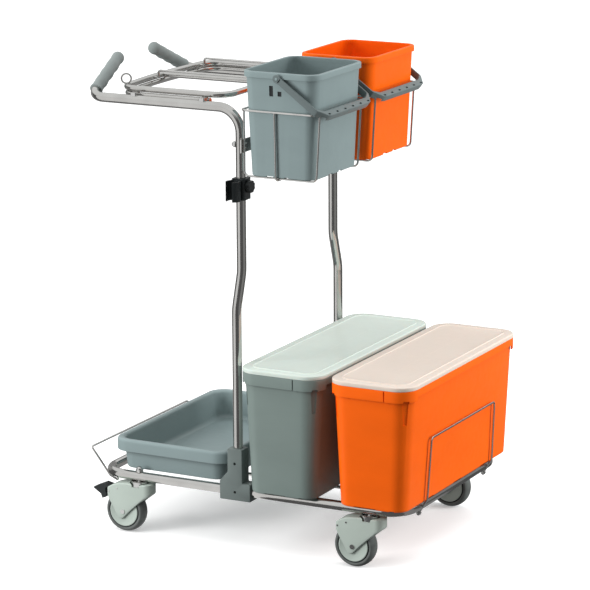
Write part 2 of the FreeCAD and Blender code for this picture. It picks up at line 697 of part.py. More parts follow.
def tray():
    rim = (TRAY_X[0], TRAY_X[1], -TRAY_HALF_Y, TRAY_HALF_Y)
    wall = 3.0
    low = inset(rim, 40.0, 34.0, TRAY_BOTTOM, 30.0)
    high = inset(rim, 13.0, 13.0, TRAY_TOP, 38.0)
    outside = taper(low, high)
    inner_low = inset(rim, 40.0 + wall, 34.0 + wall, TRAY_BOTTOM + 3.5, 27.0)
    inner_high = inset(rim, 13.0 + wall, 13.0 + wall, TRAY_TOP + 0.01, 35.0)
    inside = taper(inner_low, inner_high)
    skirt_low = TRAY_TOP - TRAY_RIM_H
    collar = slab(*rim, skirt_low, TRAY_TOP, 42.0)
    collar = collar.makeFillet(7.0, top_edges(collar, TRAY_TOP))
    groove = slab(
        rim[0] + 3, rim[1] - 3, rim[2] + 3, rim[3] - 3, skirt_low - 1, TRAY_TOP - 9, 39.0,
    )
    shell = outside.fuse(collar.cut(groove)).cut(inside)
    add("tray", shell.removeSplitter())


def broom_clip():
    """Clamp block on the near upright, with a C-shaped jaw on its near side that opens outwards."""
    low, high = CLIP_Z
    y = -UPRIGHT_HIGH_Y
    back_x = UPRIGHT_X - CLIP_BACK
    face_x = UPRIGHT_X + CLIP_FRONT
    centre = V(JAW_CENTRE[0], JAW_CENTRE[1], low)
    under = centre - V(0, 0, 1)
    height = high - low - 3.0
    block = slab(back_x, face_x, y - 18, y + 18, low, high, 7.0)
    bore = rod(V(UPRIGHT_X, y, low - 1), V(UPRIGHT_X, y, high + 1), TUBE_R + FIT)
    thread = rod(V(UPRIGHT_X + 5, y, KNOB_Z), V(UPRIGHT_X + 30, y, KNOB_Z), 3.1)
    seat = Part.makeCylinder(JAW_R + JAW_WALL + FIT, high - low + 2, under)
    add("clip_body", block.cut([bore, thread, seat]))

    core = Part.makeCylinder(JAW_R, height + 2, under)
    ring = Part.makeCylinder(JAW_R + JAW_WALL, height, centre).cut(core)
    mouth = box(centre.x - 40, centre.x - 1, centre.y - JAW_MOUTH / 2, centre.y + JAW_MOUTH / 2, low - 1, high + 1)
    mouth.rotate(centre, V(0, 0, 1), JAW_TURN)
    root = box(back_x - 7.0, back_x - FIT, centre.y + 5, y + 6, low + 3, high - 6)
    add("clip_jaw", ring.cut(mouth).fuse(root.cut(core)).removeSplitter())

    disc = rod(V(face_x + 0.3, y, KNOB_Z), V(face_x + 11.0, y, KNOB_Z), 14.0)
    flutes = []
    for index in range(8):
        angle = index * math.pi / 4
        flute_y = y + 17.2 * math.cos(angle)
        flute_z = KNOB_Z + 17.2 * math.sin(angle)
        flutes.append(rod(V(face_x - 1, flute_y, flute_z), V(face_x + 14, flute_y, flute_z), 4.6))
    spindle = rod(V(UPRIGHT_X + TUBE_R + 0.3, y, KNOB_Z), V(face_x + 2, y, KNOB_Z), 3.0)
    add("clip_knob", disc.cut(flutes).fuse(spindle).removeSplitter())


HOUSING_OUTLINE = (
    (-82.0, 99.0), (-67.0, 110.0), (-45.0, 117.5), (-20.0, HOUSING_TOP), (39.0, HOUSING_TOP),
    (39.0, 103.0), (33.0, 94.0), (12.0, 78.0), (-18.0, 51.0), (-34.0, 34.0), (-40.0, 31.5),
    (-47.0, 34.0), (-70.0, 72.0), (-80.0, 91.0),
)


def caster(name, x, y, braked):
    axle_x = x - TRAIL
    axle = V(axle_x, y, WHEEL_R)
    side_view = prism([(x + px, pz) for px, pz in HOUSING_OUTLINE], y - HOUSING_HALF, y + HOUSING_HALF)
    plan = slab(x - 90, x + 39, y - HOUSING_HALF, y + HOUSING_HALF, 20, HOUSING_TOP + 1, 16.0)
    hull = side_view.common(plan)
    well = rod(V(axle_x, y - WELL_HALF, WHEEL_R), V(axle_x, y + WELL_HALF, WHEEL_R), WELL_R)
    bearing_well = rod(V(x, y, 112.0), V(x, y, HOUSING_TOP + 5), 23.5)
    stem_bore = rod(V(x, y, 85.0), V(x, y, 125.0), 6.0 + FIT)
    head_pocket = rod(V(x, y, 80.0), V(x, y, 100.8), 8.5)
    axle_bore = rod(V(axle_x, y - 30, WHEEL_R), V(axle_x, y + 30, WHEEL_R), AXLE_R + FIT)
    rivet_places = ((-50.0, 104.5), (-72.0, 95.0))
    rivet_holes = []
    rivets = []
    for px, pz in rivet_places:
        rivet_holes.append(rod(V(x + px, y - 30, pz), V(x + px, y + 30, pz), 2.2))
        tip = HOUSING_HALF + 0.7
        rivets.append(rod(V(x + px, y - tip, pz), V(x + px, y + tip, pz), 2.2 - FIT))
    cuts = [well, bearing_well, stem_bore, head_pocket, axle_bore] + rivet_holes
    housing = max(hull.cut(cuts).Solids, key=lambda solid: solid.Volume)
    add("housing_" + name, housing)

    shaft = rod(V(axle_x, y - HOUSING_HALF - 1.2, WHEEL_R), V(axle_x, y + HOUSING_HALF + 1.2, WHEEL_R), AXLE_R)
    heads = []
    for hand in (-1, 1):
        inner = V(axle_x, y + hand * (HOUSING_HALF + 0.1), WHEEL_R)
        heads.append(rod(inner, inner + V(0, hand * 1.6, 0), 5.5))
    add("axle_" + name, Part.makeCompound([shaft.fuse(heads).removeSplitter()] + rivets))

    # Wheel section: radius and half width, turned about the axle
    core_r = 39.0
    profile = [V(AXLE_R + FIT, 0, -14.0), V(core_r, 0, -14.0), V(core_r, 0, 14.0), V(AXLE_R + FIT, 0, 14.0)]
    core = Part.Face(Part.makePolygon(profile + profile[:1])).revolve(V(0, 0, 0), V(0, 0, 1), 360)
    half = WHEEL_HALF
    low = core_r + FIT
    shoulder = WHEEL_R - TYRE_DROP
    tread = Part.Arc(V(shoulder, 0, -half), V(WHEEL_R, 0, 0), V(shoulder, 0, half))
    outline = [
        Part.LineSegment(V(low, 0, -half + 1), V(low + 1, 0, -half)).toShape(),
        Part.LineSegment(V(low + 1, 0, -half), V(shoulder, 0, -half)).toShape(),
        tread.toShape(),
        Part.LineSegment(V(shoulder, 0, half), V(low + 1, 0, half)).toShape(),
        Part.LineSegment(V(low + 1, 0, half), V(low, 0, half - 1)).toShape(),
        Part.LineSegment(V(low, 0, half - 1), V(low, 0, -half + 1)).toShape(),
    ]
    tyre = Part.Face(Part.Wire(outline)).revolve(V(0, 0, 0), V(0, 0, 1), 360)
    covers = []
    for hand in (-1, 1):
        disc = Part.makeCylinder(36.0, 2.4, V(0, 0, 14.05 if hand > 0 else -16.45))
        bore = Part.makeCylinder(AXLE_R + 0.4, 80, V(0, 0, -40))
        covers.append(disc.cut(bore))
    lay = FreeCAD.Placement(axle, FreeCAD.Rotation(V(1, 0, 0), 90))
    for part_name, shape in (("wheel_core", core), ("tyre", tyre), ("wheel_covers", Part.makeCompound(covers))):
        shape.Placement = lay
        add("%s_%s" % (part_name, name), shape)

    if braked:
        lever = [(-74.5, 104.5), (-92.0, 108.5), (-119.0, 96.5), (-98.0, 83.0), (-94.0, 73.0),
                 (-86.0, 76.0), (-82.5, 85.0), (-88.0, 93.0), (-84.5, 100.5), (-74.5, 103.0)]
        pedal = prism([(x + px, pz) for px, pz in lever], y - 13.0, y + 13.0)
        tongue = box(x - 90.0, x - 86.0, y - 13.0, y + 13.0, 90.0, 100.0)
        pedal = pedal.fuse(tongue).removeSplitter()
        pivot = V(x + BRAKE_PIVOT[0], y, BRAKE_PIVOT[1])
        for angle in range(-1, BRAKE_DEG + 2, 2):
            swept = hull.copy()
            swept.rotate(pivot, V(0, 1, 0), angle)
            pedal = pedal.cut(swept)
        add("brake_pedal_" + name, max(pedal.Solids, key=lambda solid: solid.Volume))


def casters():
    stems = []
    nuts = []
    for end_name, x in CASTER_XS.items():
        for side_name, y in CASTER_YS.items():
            caster(end_name + "_" + side_name, x, y, end_name == "rear")
            # The front stems end flush, because the mop box stands on the rail above them
            shaft_top = RAIL_TOP + 6 if end_name == "rear" else RAIL_TOP - 0.3
            shaft = rod(V(x, y, 96.6), V(x, y, shaft_top), 6.0)
            head = rod(V(x, y, 96.6), V(x, y, 100.4), 8.0)
            race = rod(V(x, y, 112.4), V(x, y, RAIL_BOTTOM - 0.1), 20.0)
            stems.append(shaft.fuse([head, race]).removeSplitter())
            if end_name == "front":
                continue
            nut = cap_nut(V(x, y, RAIL_TOP + 0.1), V(0, 0, 1), 7.6, 5.4, 8.8)
            bore = rod(V(x, y, RAIL_TOP), V(x, y, RAIL_TOP + 6.2), 6.0 + FIT)
            nuts.append(nut.cut(bore))
    add("caster_stems", Part.makeCompound(stems))
    add("caster_cap_nuts", Part.makeCompound(nuts))


base_frame()
handle_frames()
connectors()
bag_frame()
bucket_holders()
buckets()
boxes()
tray()
broom_clip()
casters()

os.makedirs("parts", exist_ok=True)
for node_name, node_shape in nodes.items():
    placed = node_shape.copy()
    placed.translate(V(ORIGIN_SHIFT_X, 0, 0))
    placed.exportStep("parts/" + node_name + ".step")
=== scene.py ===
import json
import math

import bmesh
import bpy
from mathutils import Matrix, Vector

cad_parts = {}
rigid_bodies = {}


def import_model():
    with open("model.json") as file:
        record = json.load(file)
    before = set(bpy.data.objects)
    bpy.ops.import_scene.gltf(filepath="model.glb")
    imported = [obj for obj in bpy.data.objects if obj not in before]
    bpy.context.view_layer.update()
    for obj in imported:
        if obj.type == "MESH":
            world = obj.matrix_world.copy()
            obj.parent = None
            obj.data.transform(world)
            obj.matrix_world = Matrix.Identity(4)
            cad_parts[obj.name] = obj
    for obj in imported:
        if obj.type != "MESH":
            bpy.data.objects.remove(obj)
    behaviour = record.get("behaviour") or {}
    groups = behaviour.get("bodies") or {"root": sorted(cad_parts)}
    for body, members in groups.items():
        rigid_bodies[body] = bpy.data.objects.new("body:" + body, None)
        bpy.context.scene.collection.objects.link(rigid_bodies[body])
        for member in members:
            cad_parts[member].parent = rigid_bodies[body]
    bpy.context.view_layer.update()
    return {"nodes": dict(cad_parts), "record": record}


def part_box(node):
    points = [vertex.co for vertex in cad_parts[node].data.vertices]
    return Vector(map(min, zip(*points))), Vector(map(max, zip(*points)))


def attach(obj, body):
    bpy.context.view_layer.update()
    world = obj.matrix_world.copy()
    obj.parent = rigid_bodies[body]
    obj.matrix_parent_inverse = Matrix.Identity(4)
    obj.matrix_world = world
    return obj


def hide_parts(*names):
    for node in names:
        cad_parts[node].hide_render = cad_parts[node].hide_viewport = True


# Looks of a two-box cleaning trolley. Sizes are in millimetres, and MM turns them into metres.
# Pieces take their places from the frame's own boxes. Tubes, wires and fasteners stay as the CAD has them.
MM = 0.001
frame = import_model()
nodes = frame["nodes"]
SHARP_ANGLE = math.radians(32)
SIDES = ("near", "far")
CASTERS = ("rear_near", "rear_far", "front_near", "front_far")


# ---------------------------------------------------------------- materials

def new_material(name):
    material = bpy.data.materials.new(name)
    material.use_nodes = True
    tree = material.node_tree
    shader = tree.nodes["Principled BSDF"]
    place = tree.nodes.new("ShaderNodeTexCoord")
    return material, tree, shader, place.outputs["Object"]


def noise(tree, place, scale, detail=2.0, stretch=(1.0, 1.0, 1.0)):
    """Noise over the piece's own coordinates; scale is in bumps for each metre."""
    mapping = tree.nodes.new("ShaderNodeMapping")
    mapping.inputs["Scale"].default_value = stretch
    tree.links.new(place, mapping.inputs["Vector"])
    texture = tree.nodes.new("ShaderNodeTexNoise")
    texture.inputs["Scale"].default_value = scale
    texture.inputs["Detail"].default_value = detail
    tree.links.new(mapping.outputs["Vector"], texture.inputs["Vector"])
    return texture.outputs["Fac"]


def spread(tree, value, low, high):
    """Turns noise into a number that runs from low to high."""
    scale = tree.nodes.new("ShaderNodeMapRange")
    scale.inputs["From Min"].default_value = 0.3
    scale.inputs["From Max"].default_value = 0.7
    scale.inputs["To Min"].default_value = low
    scale.inputs["To Max"].default_value = high
    tree.links.new(value, scale.inputs["Value"])
    return scale.outputs["Result"]


def tint(tree, value, dark, light):
    """Colour between dark and light, by noise."""
    mix = tree.nodes.new("ShaderNodeMix")
    mix.data_type = "RGBA"
    mix.inputs["A"].default_value = (*dark, 1)
    mix.inputs["B"].default_value = (*light, 1)
    tree.links.new(spread(tree, value, 0.0, 1.0), mix.inputs["Factor"])
    return mix.outputs["Result"]


def bump(tree, shader, height, strength, distance):
    relief = tree.nodes.new("ShaderNodeBump")
    relief.inputs["Strength"].default_value = strength
    relief.inputs["Distance"].default_value = distance
    tree.links.new(height, relief.inputs["Height"])
    tree.links.new(relief.outputs["Normal"], shader.inputs["Normal"])


def plastic(name, colour, vary=0.06, rough=(0.36, 0.48), grain=1400, grain_depth=0.00002,
            strength=0.2, subsurface=0.0, specular=0.35):
    """Moulded plastic: slow flow marks in the colour, uneven gloss and a fine grain."""
    material, tree, shader, place = new_material(name)
    flow = noise(tree, place, 9, 3.0, (1.0, 1.0, 2.2))
    dark = [c * (1 - vary) for c in colour]
    light = [min(1.0, c * (1 + vary)) for c in colour]
    tree.links.new(tint(tree, flow, dark, light), shader.inputs["Base Color"])
    tree.links.new(spread(tree, noise(tree, place, 60, 4.0), *rough), shader.inputs["Roughness"])
    bump(tree, shader, noise(tree, place, grain, 2.0), strength, grain_depth)
    shader.inputs["Specular IOR Level"].default_value = specular
    shader.inputs["Subsurface Weight"].default_value = subsurface
    shader.inputs["Subsurface Radius"].default_value = (0.006, 0.003, 0.002)
    shader.inputs["Subsurface Scale"].default_value = 1.0
    return material


def steel(name, colour, rough, stretch, bump_depth=0.00002):
    """Polished stainless steel: fine drawing lines, faint clouding, small gloss changes."""
    material, tree, shader, place = new_material(name)
    shader.inputs["Metallic"].default_value = 1.0
    cloud = noise(tree, place, 22, 3.0)
    dark = [c * 0.88 for c in colour]
    tree.links.new(tint(tree, cloud, dark, colour), shader.inputs["Base Color"])
    lines = noise(tree, place, 700, 3.0, stretch)
    tree.links.new(spread(tree, lines, *rough), shader.inputs["Roughness"])
    bump(tree, shader, lines, 0.25, bump_depth)
    return material


def rubber(name, colour):
    material, tree, shader, place = new_material(name)
    dust = noise(tree, place, 45, 5.0)
    tree.links.new(tint(tree, dust, [c * 0.8 for c in colour], [c * 1.25 for c in colour]),
                   shader.inputs["Base Color"])
    tree.links.new(spread(tree, noise(tree, place, 160, 3.0), 0.5, 0.72), shader.inputs["Roughness"])
    bump(tree, shader, noise(tree, place, 1900, 2.0), 0.5, 0.0001)
    return material


GREY = (0.222, 0.282, 0.285)
DEEP_GREY = (0.182, 0.228, 0.212)
ORANGE = (0.930, 0.128, 0.004)
LOOKS = {
    "steel_tube": steel("polished_tube", (0.66, 0.65, 0.63), (0.10, 0.17), (0.15, 0.15, 1.0)),
    "steel_wire": steel("drawn_wire", (0.72, 0.71, 0.69), (0.12, 0.20), (1.0, 1.0, 1.0)),
    "fastener": steel("plated_fastener", (0.74, 0.74, 0.73), (0.16, 0.26), (1.0, 1.0, 1.0)),
    "grip_plastic": plastic("grip_plastic", (0.235, 0.265, 0.260), 0.08, (0.5, 0.62), 900, 0.00008, 0.4),
    "connector_plastic": plastic("connector_plastic", (0.130, 0.156, 0.150), 0.06, (0.40, 0.50),
                                 1100, 0.00004, 0.3),
    "black_plastic": plastic("black_plastic", (0.016, 0.019, 0.020), 0.15, (0.30, 0.42),
                             1200, 0.00004, 0.3),
    "grey_plastic": plastic("grey_polypropylene", GREY, 0.035, (0.30, 0.37)),
    "orange_plastic": plastic("orange_polypropylene", ORANGE, 0.035, (0.32, 0.39),
                              subsurface=0.03, specular=0.2),
    "lid_plastic": plastic("milky_lid", (0.59, 0.66, 0.605), 0.015, (0.19, 0.24), 300, 0.000008, 0.15, 0.1),
    "caster_plastic": plastic("caster_polyamide", (0.42, 0.48, 0.435), 0.04, (0.34, 0.44),
                              1000, 0.00003, 0.3),
    # Near-black wheel core, seen in the groove between the tyre and the wheel discs.
    "core_plastic": plastic("near_black_wheel_core", (0.018, 0.022, 0.022), 0.2, (0.4, 0.5), 900, 0.00004, 0.3),
    "tyre_rubber": rubber("grey_rubber", (0.115, 0.125, 0.120)),
}
HANDLE_GREY = plastic("handle_grey_polypropylene", (0.135, 0.165, 0.166), 0.05, (0.34, 0.42))
DEEP_BOX = plastic("deep_grey_polypropylene", DEEP_GREY, 0.035, (0.30, 0.37))
# Warm copy of the milky lid for the orange box: the tint is painted light, the orange glow of the box below
# showing through the lid.
LID_PAINTED_ORANGE_GLOW = plastic("milky_lid_painted_orange_glow", (0.68, 0.585, 0.51), 0.015, (0.19, 0.24),
                   300, 0.000008, 0.15, 0.1)
# Darker steel for the connector screws: painted shade that stands in for the shadow in their recessed heads.
SCREW_PAINTED_SHADE = steel("screw_steel_painted_shade", (0.16, 0.16, 0.155), (0.30, 0.42), (1.0, 1.0, 1.0))


# ---------------------------------------------------------------- mesh tools

def finish_piece(name, mesh, body, slot, replaced=(), material=None):
    """Links a mesh as a piece that rides on a body and takes its finish from a slot."""
    piece = bpy.data.objects.new(name, mesh)
    bpy.context.scene.collection.objects.link(piece)
    mesh.materials.clear()
    mesh.materials.append(material or LOOKS[slot])
    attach(piece, body)
    if replaced:
        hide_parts(*replaced)
    return piece


def mesh_from(bm, name, sharp=SHARP_ANGLE):
    bmesh.ops.recalc_face_normals(bm, faces=bm.faces)
    mesh = bpy.data.meshes.new(name)
    bm.to_mesh(mesh)
    bm.free()
    for face in mesh.polygons:
        face.use_smooth = True
    mesh.set_sharp_from_angle(angle=sharp)
    return mesh


CORNER_STEPS = 10


def round_rect(x0, x1, y0, y1, z, radius, side_steps=6):
    """Ring of points round a rectangle with round corners, always the same number of points."""
    radius = max(0.2, min(radius, (x1 - x0) / 2 - 0.1, (y1 - y0) / 2 - 0.1))
    centres = ((x1 - radius, y0 + radius, -90), (x1 - radius, y1 - radius, 0),
               (x0 + radius, y1 - radius, 90), (x0 + radius, y0 + radius, 180))
    ring = []
    for index, (cx, cy, start) in enumerate(centres):
        for step in range(CORNER_STEPS + 1):
            angle = math.radians(start + 90 * step / CORNER_STEPS)
            ring.append(Vector((cx + radius * math.cos(angle), cy + radius * math.sin(angle), z)))
        nx, ny, nstart = centres[(index + 1) % 4]
        angle = math.radians(nstart)
        following = Vector((nx + radius * math.cos(angle), ny + radius * math.sin(angle), z))
        last = ring[-1]
        for step in range(1, side_steps):
            ring.append(last.lerp(following, step / side_steps))
    return ring


def soften(profile, steps=4):
    """Rounds the corners of a list of (dx, dy, z, corner radius, softness), without the softness."""
    rounded = [tuple(profile[0][:4])]
    for before, here, after in zip(profile, profile[1:], profile[2:]):
        soft = here[4]
        a, b, c = (Vector(p[:4]) for p in (before, here, after))
        leg_in = math.hypot((a - b)[0], (a - b)[2])
        leg_out = math.hypot((c - b)[0], (c - b)[2])
        if soft <= 0:
            rounded.append(tuple(b))
            continue
        first = b.lerp(a, min(0.48, soft / leg_in))
        last = b.lerp(c, min(0.48, soft / leg_out))
        for step in range(steps + 1):
            t = step / steps
            rounded.append(tuple(first * (1 - t) ** 2 + b * 2 * t * (1 - t) + last * t ** 2))
    rounded.append(tuple(profile[-1][:4]))
    return rounded


def skin(bm, rings, closed=False):
    """Faces between rings of points; a closed skin joins its last ring to its first, others get end caps."""
    rows = [[bm.verts.new(point * MM) for point in ring] for ring in rings]
    pairs = list(zip(rows, rows[1:]))
    if closed:
        pairs.append((rows[-1], rows[0]))
    for low, high in pairs:
        count = len(low)
        for index in range(count):
            after = (index + 1) % count
            bm.faces.new((low[index], low[after], high[after], high[index]))
    if not closed:
        bm.faces.new(list(reversed(rows[0])))
        bm.faces.new(rows[-1])


def shell(outline, profile, side_steps=6, shape=None):
    """Skin of round-cornered rings; a profile row is the insets in x and y, the height and the radius."""
    x0, x1, y0, y1 = outline
    bm = bmesh.new()
    rings = []
    for dx, dy, z, radius in profile:
        ring = round_rect(x0 + dx, x1 - dx, y0 + dy, y1 - dy, z, radius, side_steps)
        rings.append([shape(point) for point in ring] if shape else ring)
    skin(bm, rings)
    return bm


def add_box(bm, x0, x1, y0, y1, z0, z1):
    """Box in millimetres."""
    made = bmesh.ops.create_cube(bm, size=1.0)["verts"]
    size = Vector((x1 - x0, y1 - y0, z1 - z0))
    centre = Vector(((x0 + x1) / 2, (y0 + y1) / 2, (z0 + z1) / 2))
    for vert in made:
        spot = Vector((vert.co.x * size.x, vert.co.y * size.y, vert.co.z * size.z))
        vert.co = (spot + centre) * MM


def lathe(bm, profile, centre, axis, steps=64):
    """Turns a closed profile of (radius, along) about an axis through centre."""
    up = Vector(axis).normalized()
    side = up.orthogonal().normalized()
    other = up.cross(side)
    rings = []
    for step in range(steps):
        angle = 2 * math.pi * step / steps
        out = side * math.cos(angle) + other * math.sin(angle)
        rings.append([Vector(centre) + out * radius + up * along for radius, along in profile])
    skin(bm, rings, closed=True)


def turned(bm, profile, centre, axis, steps=48):
    """Like lathe, for a profile that starts and ends on the axis."""
    up = Vector(axis).normalized()
    side = up.orthogonal().normalized()
    other = up.cross(side)
    rings = []
    for radius, along in profile:
        ring = []
        for step in range(steps):
            angle = 2 * math.pi * step / steps
            out = side * math.cos(angle) + other * math.sin(angle)
            ring.append(Vector(centre) + out * radius + up * along)
        rings.append(ring)
    skin(bm, rings)


def carve(mesh, cutter_bm, name):
    """Cuts the cutter's volume out of a mesh and returns the new mesh."""
    bmesh.ops.recalc_face_normals(cutter_bm, faces=cutter_bm.faces)
    cutter_mesh = bpy.data.meshes.new("cutter")
    cutter_bm.to_mesh(cutter_mesh)
    cutter_bm.free()
    scene = bpy.context.scene.collection.objects
    target = bpy.data.objects.new("target", mesh)
    cutter = bpy.data.objects.new("cutter", cutter_mesh)
    scene.link(target)
    scene.link(cutter)
    cut = target.modifiers.new("cut", "BOOLEAN")
    cut.operation = "DIFFERENCE"
    cut.solver = "EXACT"
    cut.object = cutter
    graph = bpy.context.evaluated_depsgraph_get()
    result = bpy.data.meshes.new_from_object(target.evaluated_get(graph))
    result.name = name
    bpy.data.objects.remove(target)
    bpy.data.objects.remove(cutter)
    for face in result.polygons:
        face.use_smooth = True
    result.set_sharp_from_angle(angle=SHARP_ANGLE)
    return result


def place_of(node):
    """Box of a CAD node in millimetres: (x0, x1, y0, y1, z0, z1)."""
    low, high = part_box(node)
    return low.x / MM, high.x / MM, low.y / MM, high.y / MM, low.z / MM, high.z / MM


def join_into(mesh, bm_extra, name):
    """Adds more closed solids to a mesh."""
    bm = bmesh.new()
    bm.from_mesh(mesh)
    bmesh.ops.recalc_face_normals(bm_extra, faces=bm_extra.faces)
    extra = bpy.data.meshes.new("extra")
    bm_extra.to_mesh(extra)
    bm_extra.free()
    bm.from_mesh(extra)
    result = bpy.data.meshes.new(name)
    bm.to_mesh(result)
    bm.free()
    for face in result.polygons:
        face.use_smooth = True
    result.set_sharp_from_angle(angle=SHARP_ANGLE)
    return result


def wedge(bm, points, along, width):
    """Prism of an outline, centred on it and as wide as width along a direction."""
    half = Vector(along).normalized() * (width / 2)
    skin(bm, [[Vector(p) - half for p in points], [Vector(p) + half for p in points]])


# ---------------------------------------------------------------- mop boxes

BOX_RIM_H = 26.0
BOX_DRAFT = (20.5, 12.5)
BOX_TOP_INSET = 5.0
BOX_WALL = 3.0
BOX_CORNER_R = 45.0
BOX_SIDE_RIM_H = 16.0
END_FOOT_MARKS = ((64.0, 53.0), (149.5, 12.5))
SIDE_FOOT_MARKS = (-150.0, 0.0, 150.0)
SIDE_MARK_HALF = 22
FOOT_MARK_REACH = 11
FOOT_MARK_H = 3.2
RIM_SLOT_X = 143.0
RIM_SLOT_HALF = 1.3
SIDE_RIM_START = 44
RECESS_TOP_HALF = 7.5
RECESS_FOOT_HALF = 4.0
RECESS_DROP = 52
BOX_RIB_OFFSETS = (-48.0, 48.0)
BOX_RIB_WIDTH = 4.0


def box_marks(x0, x1, y0, y1, z0, z1):
    """Cuts for the marks along a mop box's foot, the rim's slots and the lower rim of the long sides."""
    cuts = bmesh.new()
    low_x, low_y = BOX_DRAFT
    skirt = z1 - BOX_RIM_H
    reach = FOOT_MARK_REACH
    for end, edge in ((-1, y0), (1, y1)):
        foot = edge - end * low_y
        for start, width in END_FOOT_MARKS:
            mark = x0 + start
            add_box(cuts, mark, mark + width, foot - reach, foot + reach, z0 - 2, z0 + FOOT_MARK_H)
        slot = x0 + RIM_SLOT_X if end < 0 else x1 - RIM_SLOT_X
        add_box(cuts, slot - RIM_SLOT_HALF, slot + RIM_SLOT_HALF, edge - 4, edge + 4, skirt - 2, z1 - 1.2)
    for hand, edge in ((-1, x0), (1, x1)):
        foot = edge - hand * low_x
        for centre in SIDE_FOOT_MARKS:
            add_box(cuts, foot - reach, foot + reach, centre - SIDE_MARK_HALF, centre + SIDE_MARK_HALF,
                    z0 - 2, z0 + FOOT_MARK_H)
    for edge, inward in ((x0, 1), (x1, -1)):
        add_box(cuts, min(edge - inward, edge + inward * 4.6), max(edge - inward, edge + inward * 4.6),
                y0 + SIDE_RIM_START, y1 - SIDE_RIM_START, skirt - 2, z1 - BOX_SIDE_RIM_H)
    return cuts


def corner_recesses(cuts, x0, x1, y0, y1, skirt):
    """Adds the cut for the shallow recess that narrows downwards on each corner, below the rim."""
    corner = BOX_CORNER_R
    wall_r = corner - 6.2
    outline = [(-RECESS_TOP_HALF, skirt + 4), (RECESS_TOP_HALF, skirt + 4),
               (RECESS_FOOT_HALF, skirt - RECESS_DROP), (-RECESS_FOOT_HALF, skirt - RECESS_DROP)]
    for end, edge_y in ((-1, y0), (1, y1)):
        for edge, hand in ((x0, -1), (x1, 1)):
            arc = Vector((edge - hand * corner, edge_y - end * corner, 0))
            way = Vector((hand, end, 0)).normalized()
            side_way = Vector((-way.y, way.x, 0))
            wall = arc + way * wall_r
            points = [wall + side_way * across + Vector((0, 0, height)) for across, height in outline]
            points = [p - way * (0.0 if p.z > skirt else 2.6) for p in points]
            skin(cuts, [[p - way * 2.2 for p in points], [p + way * 8 for p in points]])


def mop_box(colour):
    x0, x1, y0, y1, z0, z1 = place_of("box_" + colour)
    low_x, low_y = BOX_DRAFT
    top = BOX_TOP_INSET
    wall = BOX_WALL
    skirt = z1 - BOX_RIM_H
    corner = BOX_CORNER_R
    profile = [
        (low_x + 30, low_y + 30, z0 + 0.8, 20, 0),
        (low_x + 9, low_y + 9, z0 + 0.8, 26, 0.8),
        (low_x + 7, low_y + 7, z0, 28, 0.8),
        (low_x, low_y, z0, 32, 5.0),
        (top + 0.6, top + 0.6, z1 - 5, 40, 1.0),
        (3.0, 3.0, z1 - 5, corner - 3, 1.0),
        (3.0, 3.0, skirt, corner - 3, 0.9),
        (0.0, 0.0, skirt, corner, 0.9),
        (0.0, 0.0, z1, corner, 2.2),
        (top + wall, top + wall, z1, 37, 1.4),
        (low_x + wall, low_y + wall, z0 + 4, 29, 9.0),
        (low_x + wall + 30, low_y + wall + 30, z0 + 4, 14, 0),
    ]
    mesh = mesh_from(shell((x0, x1, y0, y1), soften(profile), 10), "mop_box_" + colour)

    cuts = box_marks(x0, x1, y0, y1, z0, z1)
    corner_recesses(cuts, x0, x1, y0, y1, skirt)
    mesh = carve(mesh, cuts, "mop_box_" + colour)

    ribs = bmesh.new()
    for end, edge in ((-1, y0), (1, y1)):
        for offset in BOX_RIB_OFFSETS:
            x = (x0 + x1) / 2 + offset
            out, back = edge - end * 3.4, edge - end * 12.0
            wedge(ribs, [(x, out, skirt + 3), (x, back, skirt + 3), (x, back, skirt - 20)],
                  (1, 0, 0), BOX_RIB_WIDTH)
    mesh = join_into(mesh, ribs, "mop_box_" + colour)
    material = DEEP_BOX if colour == "grey" else None
    finish_piece("mop_box_" + colour, mesh, "box_" + colour, colour + "_plastic",
                 ["box_" + colour], material)


LID_SKIRT_H = 9.0
LID_H = 9.5
LID_WALL = 2.4
LID_SAG = 1.3
RIDGE_INSET = 20.0
RIDGE_H = 1.8
PANEL_H = 0.3


def mop_lid(colour, material):
    x0, x1, y0, y1, z0, z1 = place_of("lid_" + colour)
    low = z0 + LID_SKIRT_H
    high = low + LID_H
    under = high - LID_WALL
    panel = high + PANEL_H
    corner = BOX_CORNER_R
    ridge = RIDGE_INSET
    profile = [
        (96, 96, under, 2, 0),
        (13, 13, under, 34, 0.6),
        (11.2, 11.2, under, 35, 0.5),
        (11, 11, z0, 36, 0.3),
        (9, 9, z0, 38, 0.3),
        (9, 9, under, 38, 0.5),
        (2.2, 2.2, under, corner - 2, 0.6),
        (2.2, 2.2, low, corner - 2, 0.5),
        (0, 0, low, corner, 0.5),
        (0, 0, high, corner, 3.4),
        (ridge, ridge, high, 31, 1.2),
        (ridge + 1.0, ridge + 1.0, high + RIDGE_H, 30, 1.0),
        (ridge + 3.0, ridge + 3.0, high + RIDGE_H, 28, 1.0),
        (ridge + 4.5, ridge + 4.5, panel, 26, 1.0),
        (ridge + 26, ridge + 26, panel, 14, 6),
        (ridge + 50, ridge + 50, panel, 8, 6),
        (96, 96, panel, 2, 0),
    ]
    reach = (x1 - x0) / 2 - ridge - 5
    middle_x, middle_y = (x0 + x1) / 2, (y0 + y1) / 2
    half_y = (y1 - y0) / 2 - ridge - 5

    def sagged(point):
        u = min(1.0, abs(point.x - middle_x) / reach)
        v = min(1.0, abs(point.y - middle_y) / half_y)
        point.z -= LID_SAG * (1 - u * u) * (1 - v ** 6)
        return point

    mesh = mesh_from(shell((x0, x1, y0, y1), soften(profile), 16, sagged), "mop_lid_" + colour)
    finish_piece("mop_lid_" + colour, mesh, "lid_" + colour, "lid_plastic", ["lid_" + colour], material)


# ---------------------------------------------------------------- small buckets and their handles

BUCKET_RIM_H = 14.0
BUCKET_DRAFT = (14.0, 13.0)
BUCKET_TOP_INSET = 4.5
BUCKET_WALL = 2.5
HINGE_PIN = 6.8
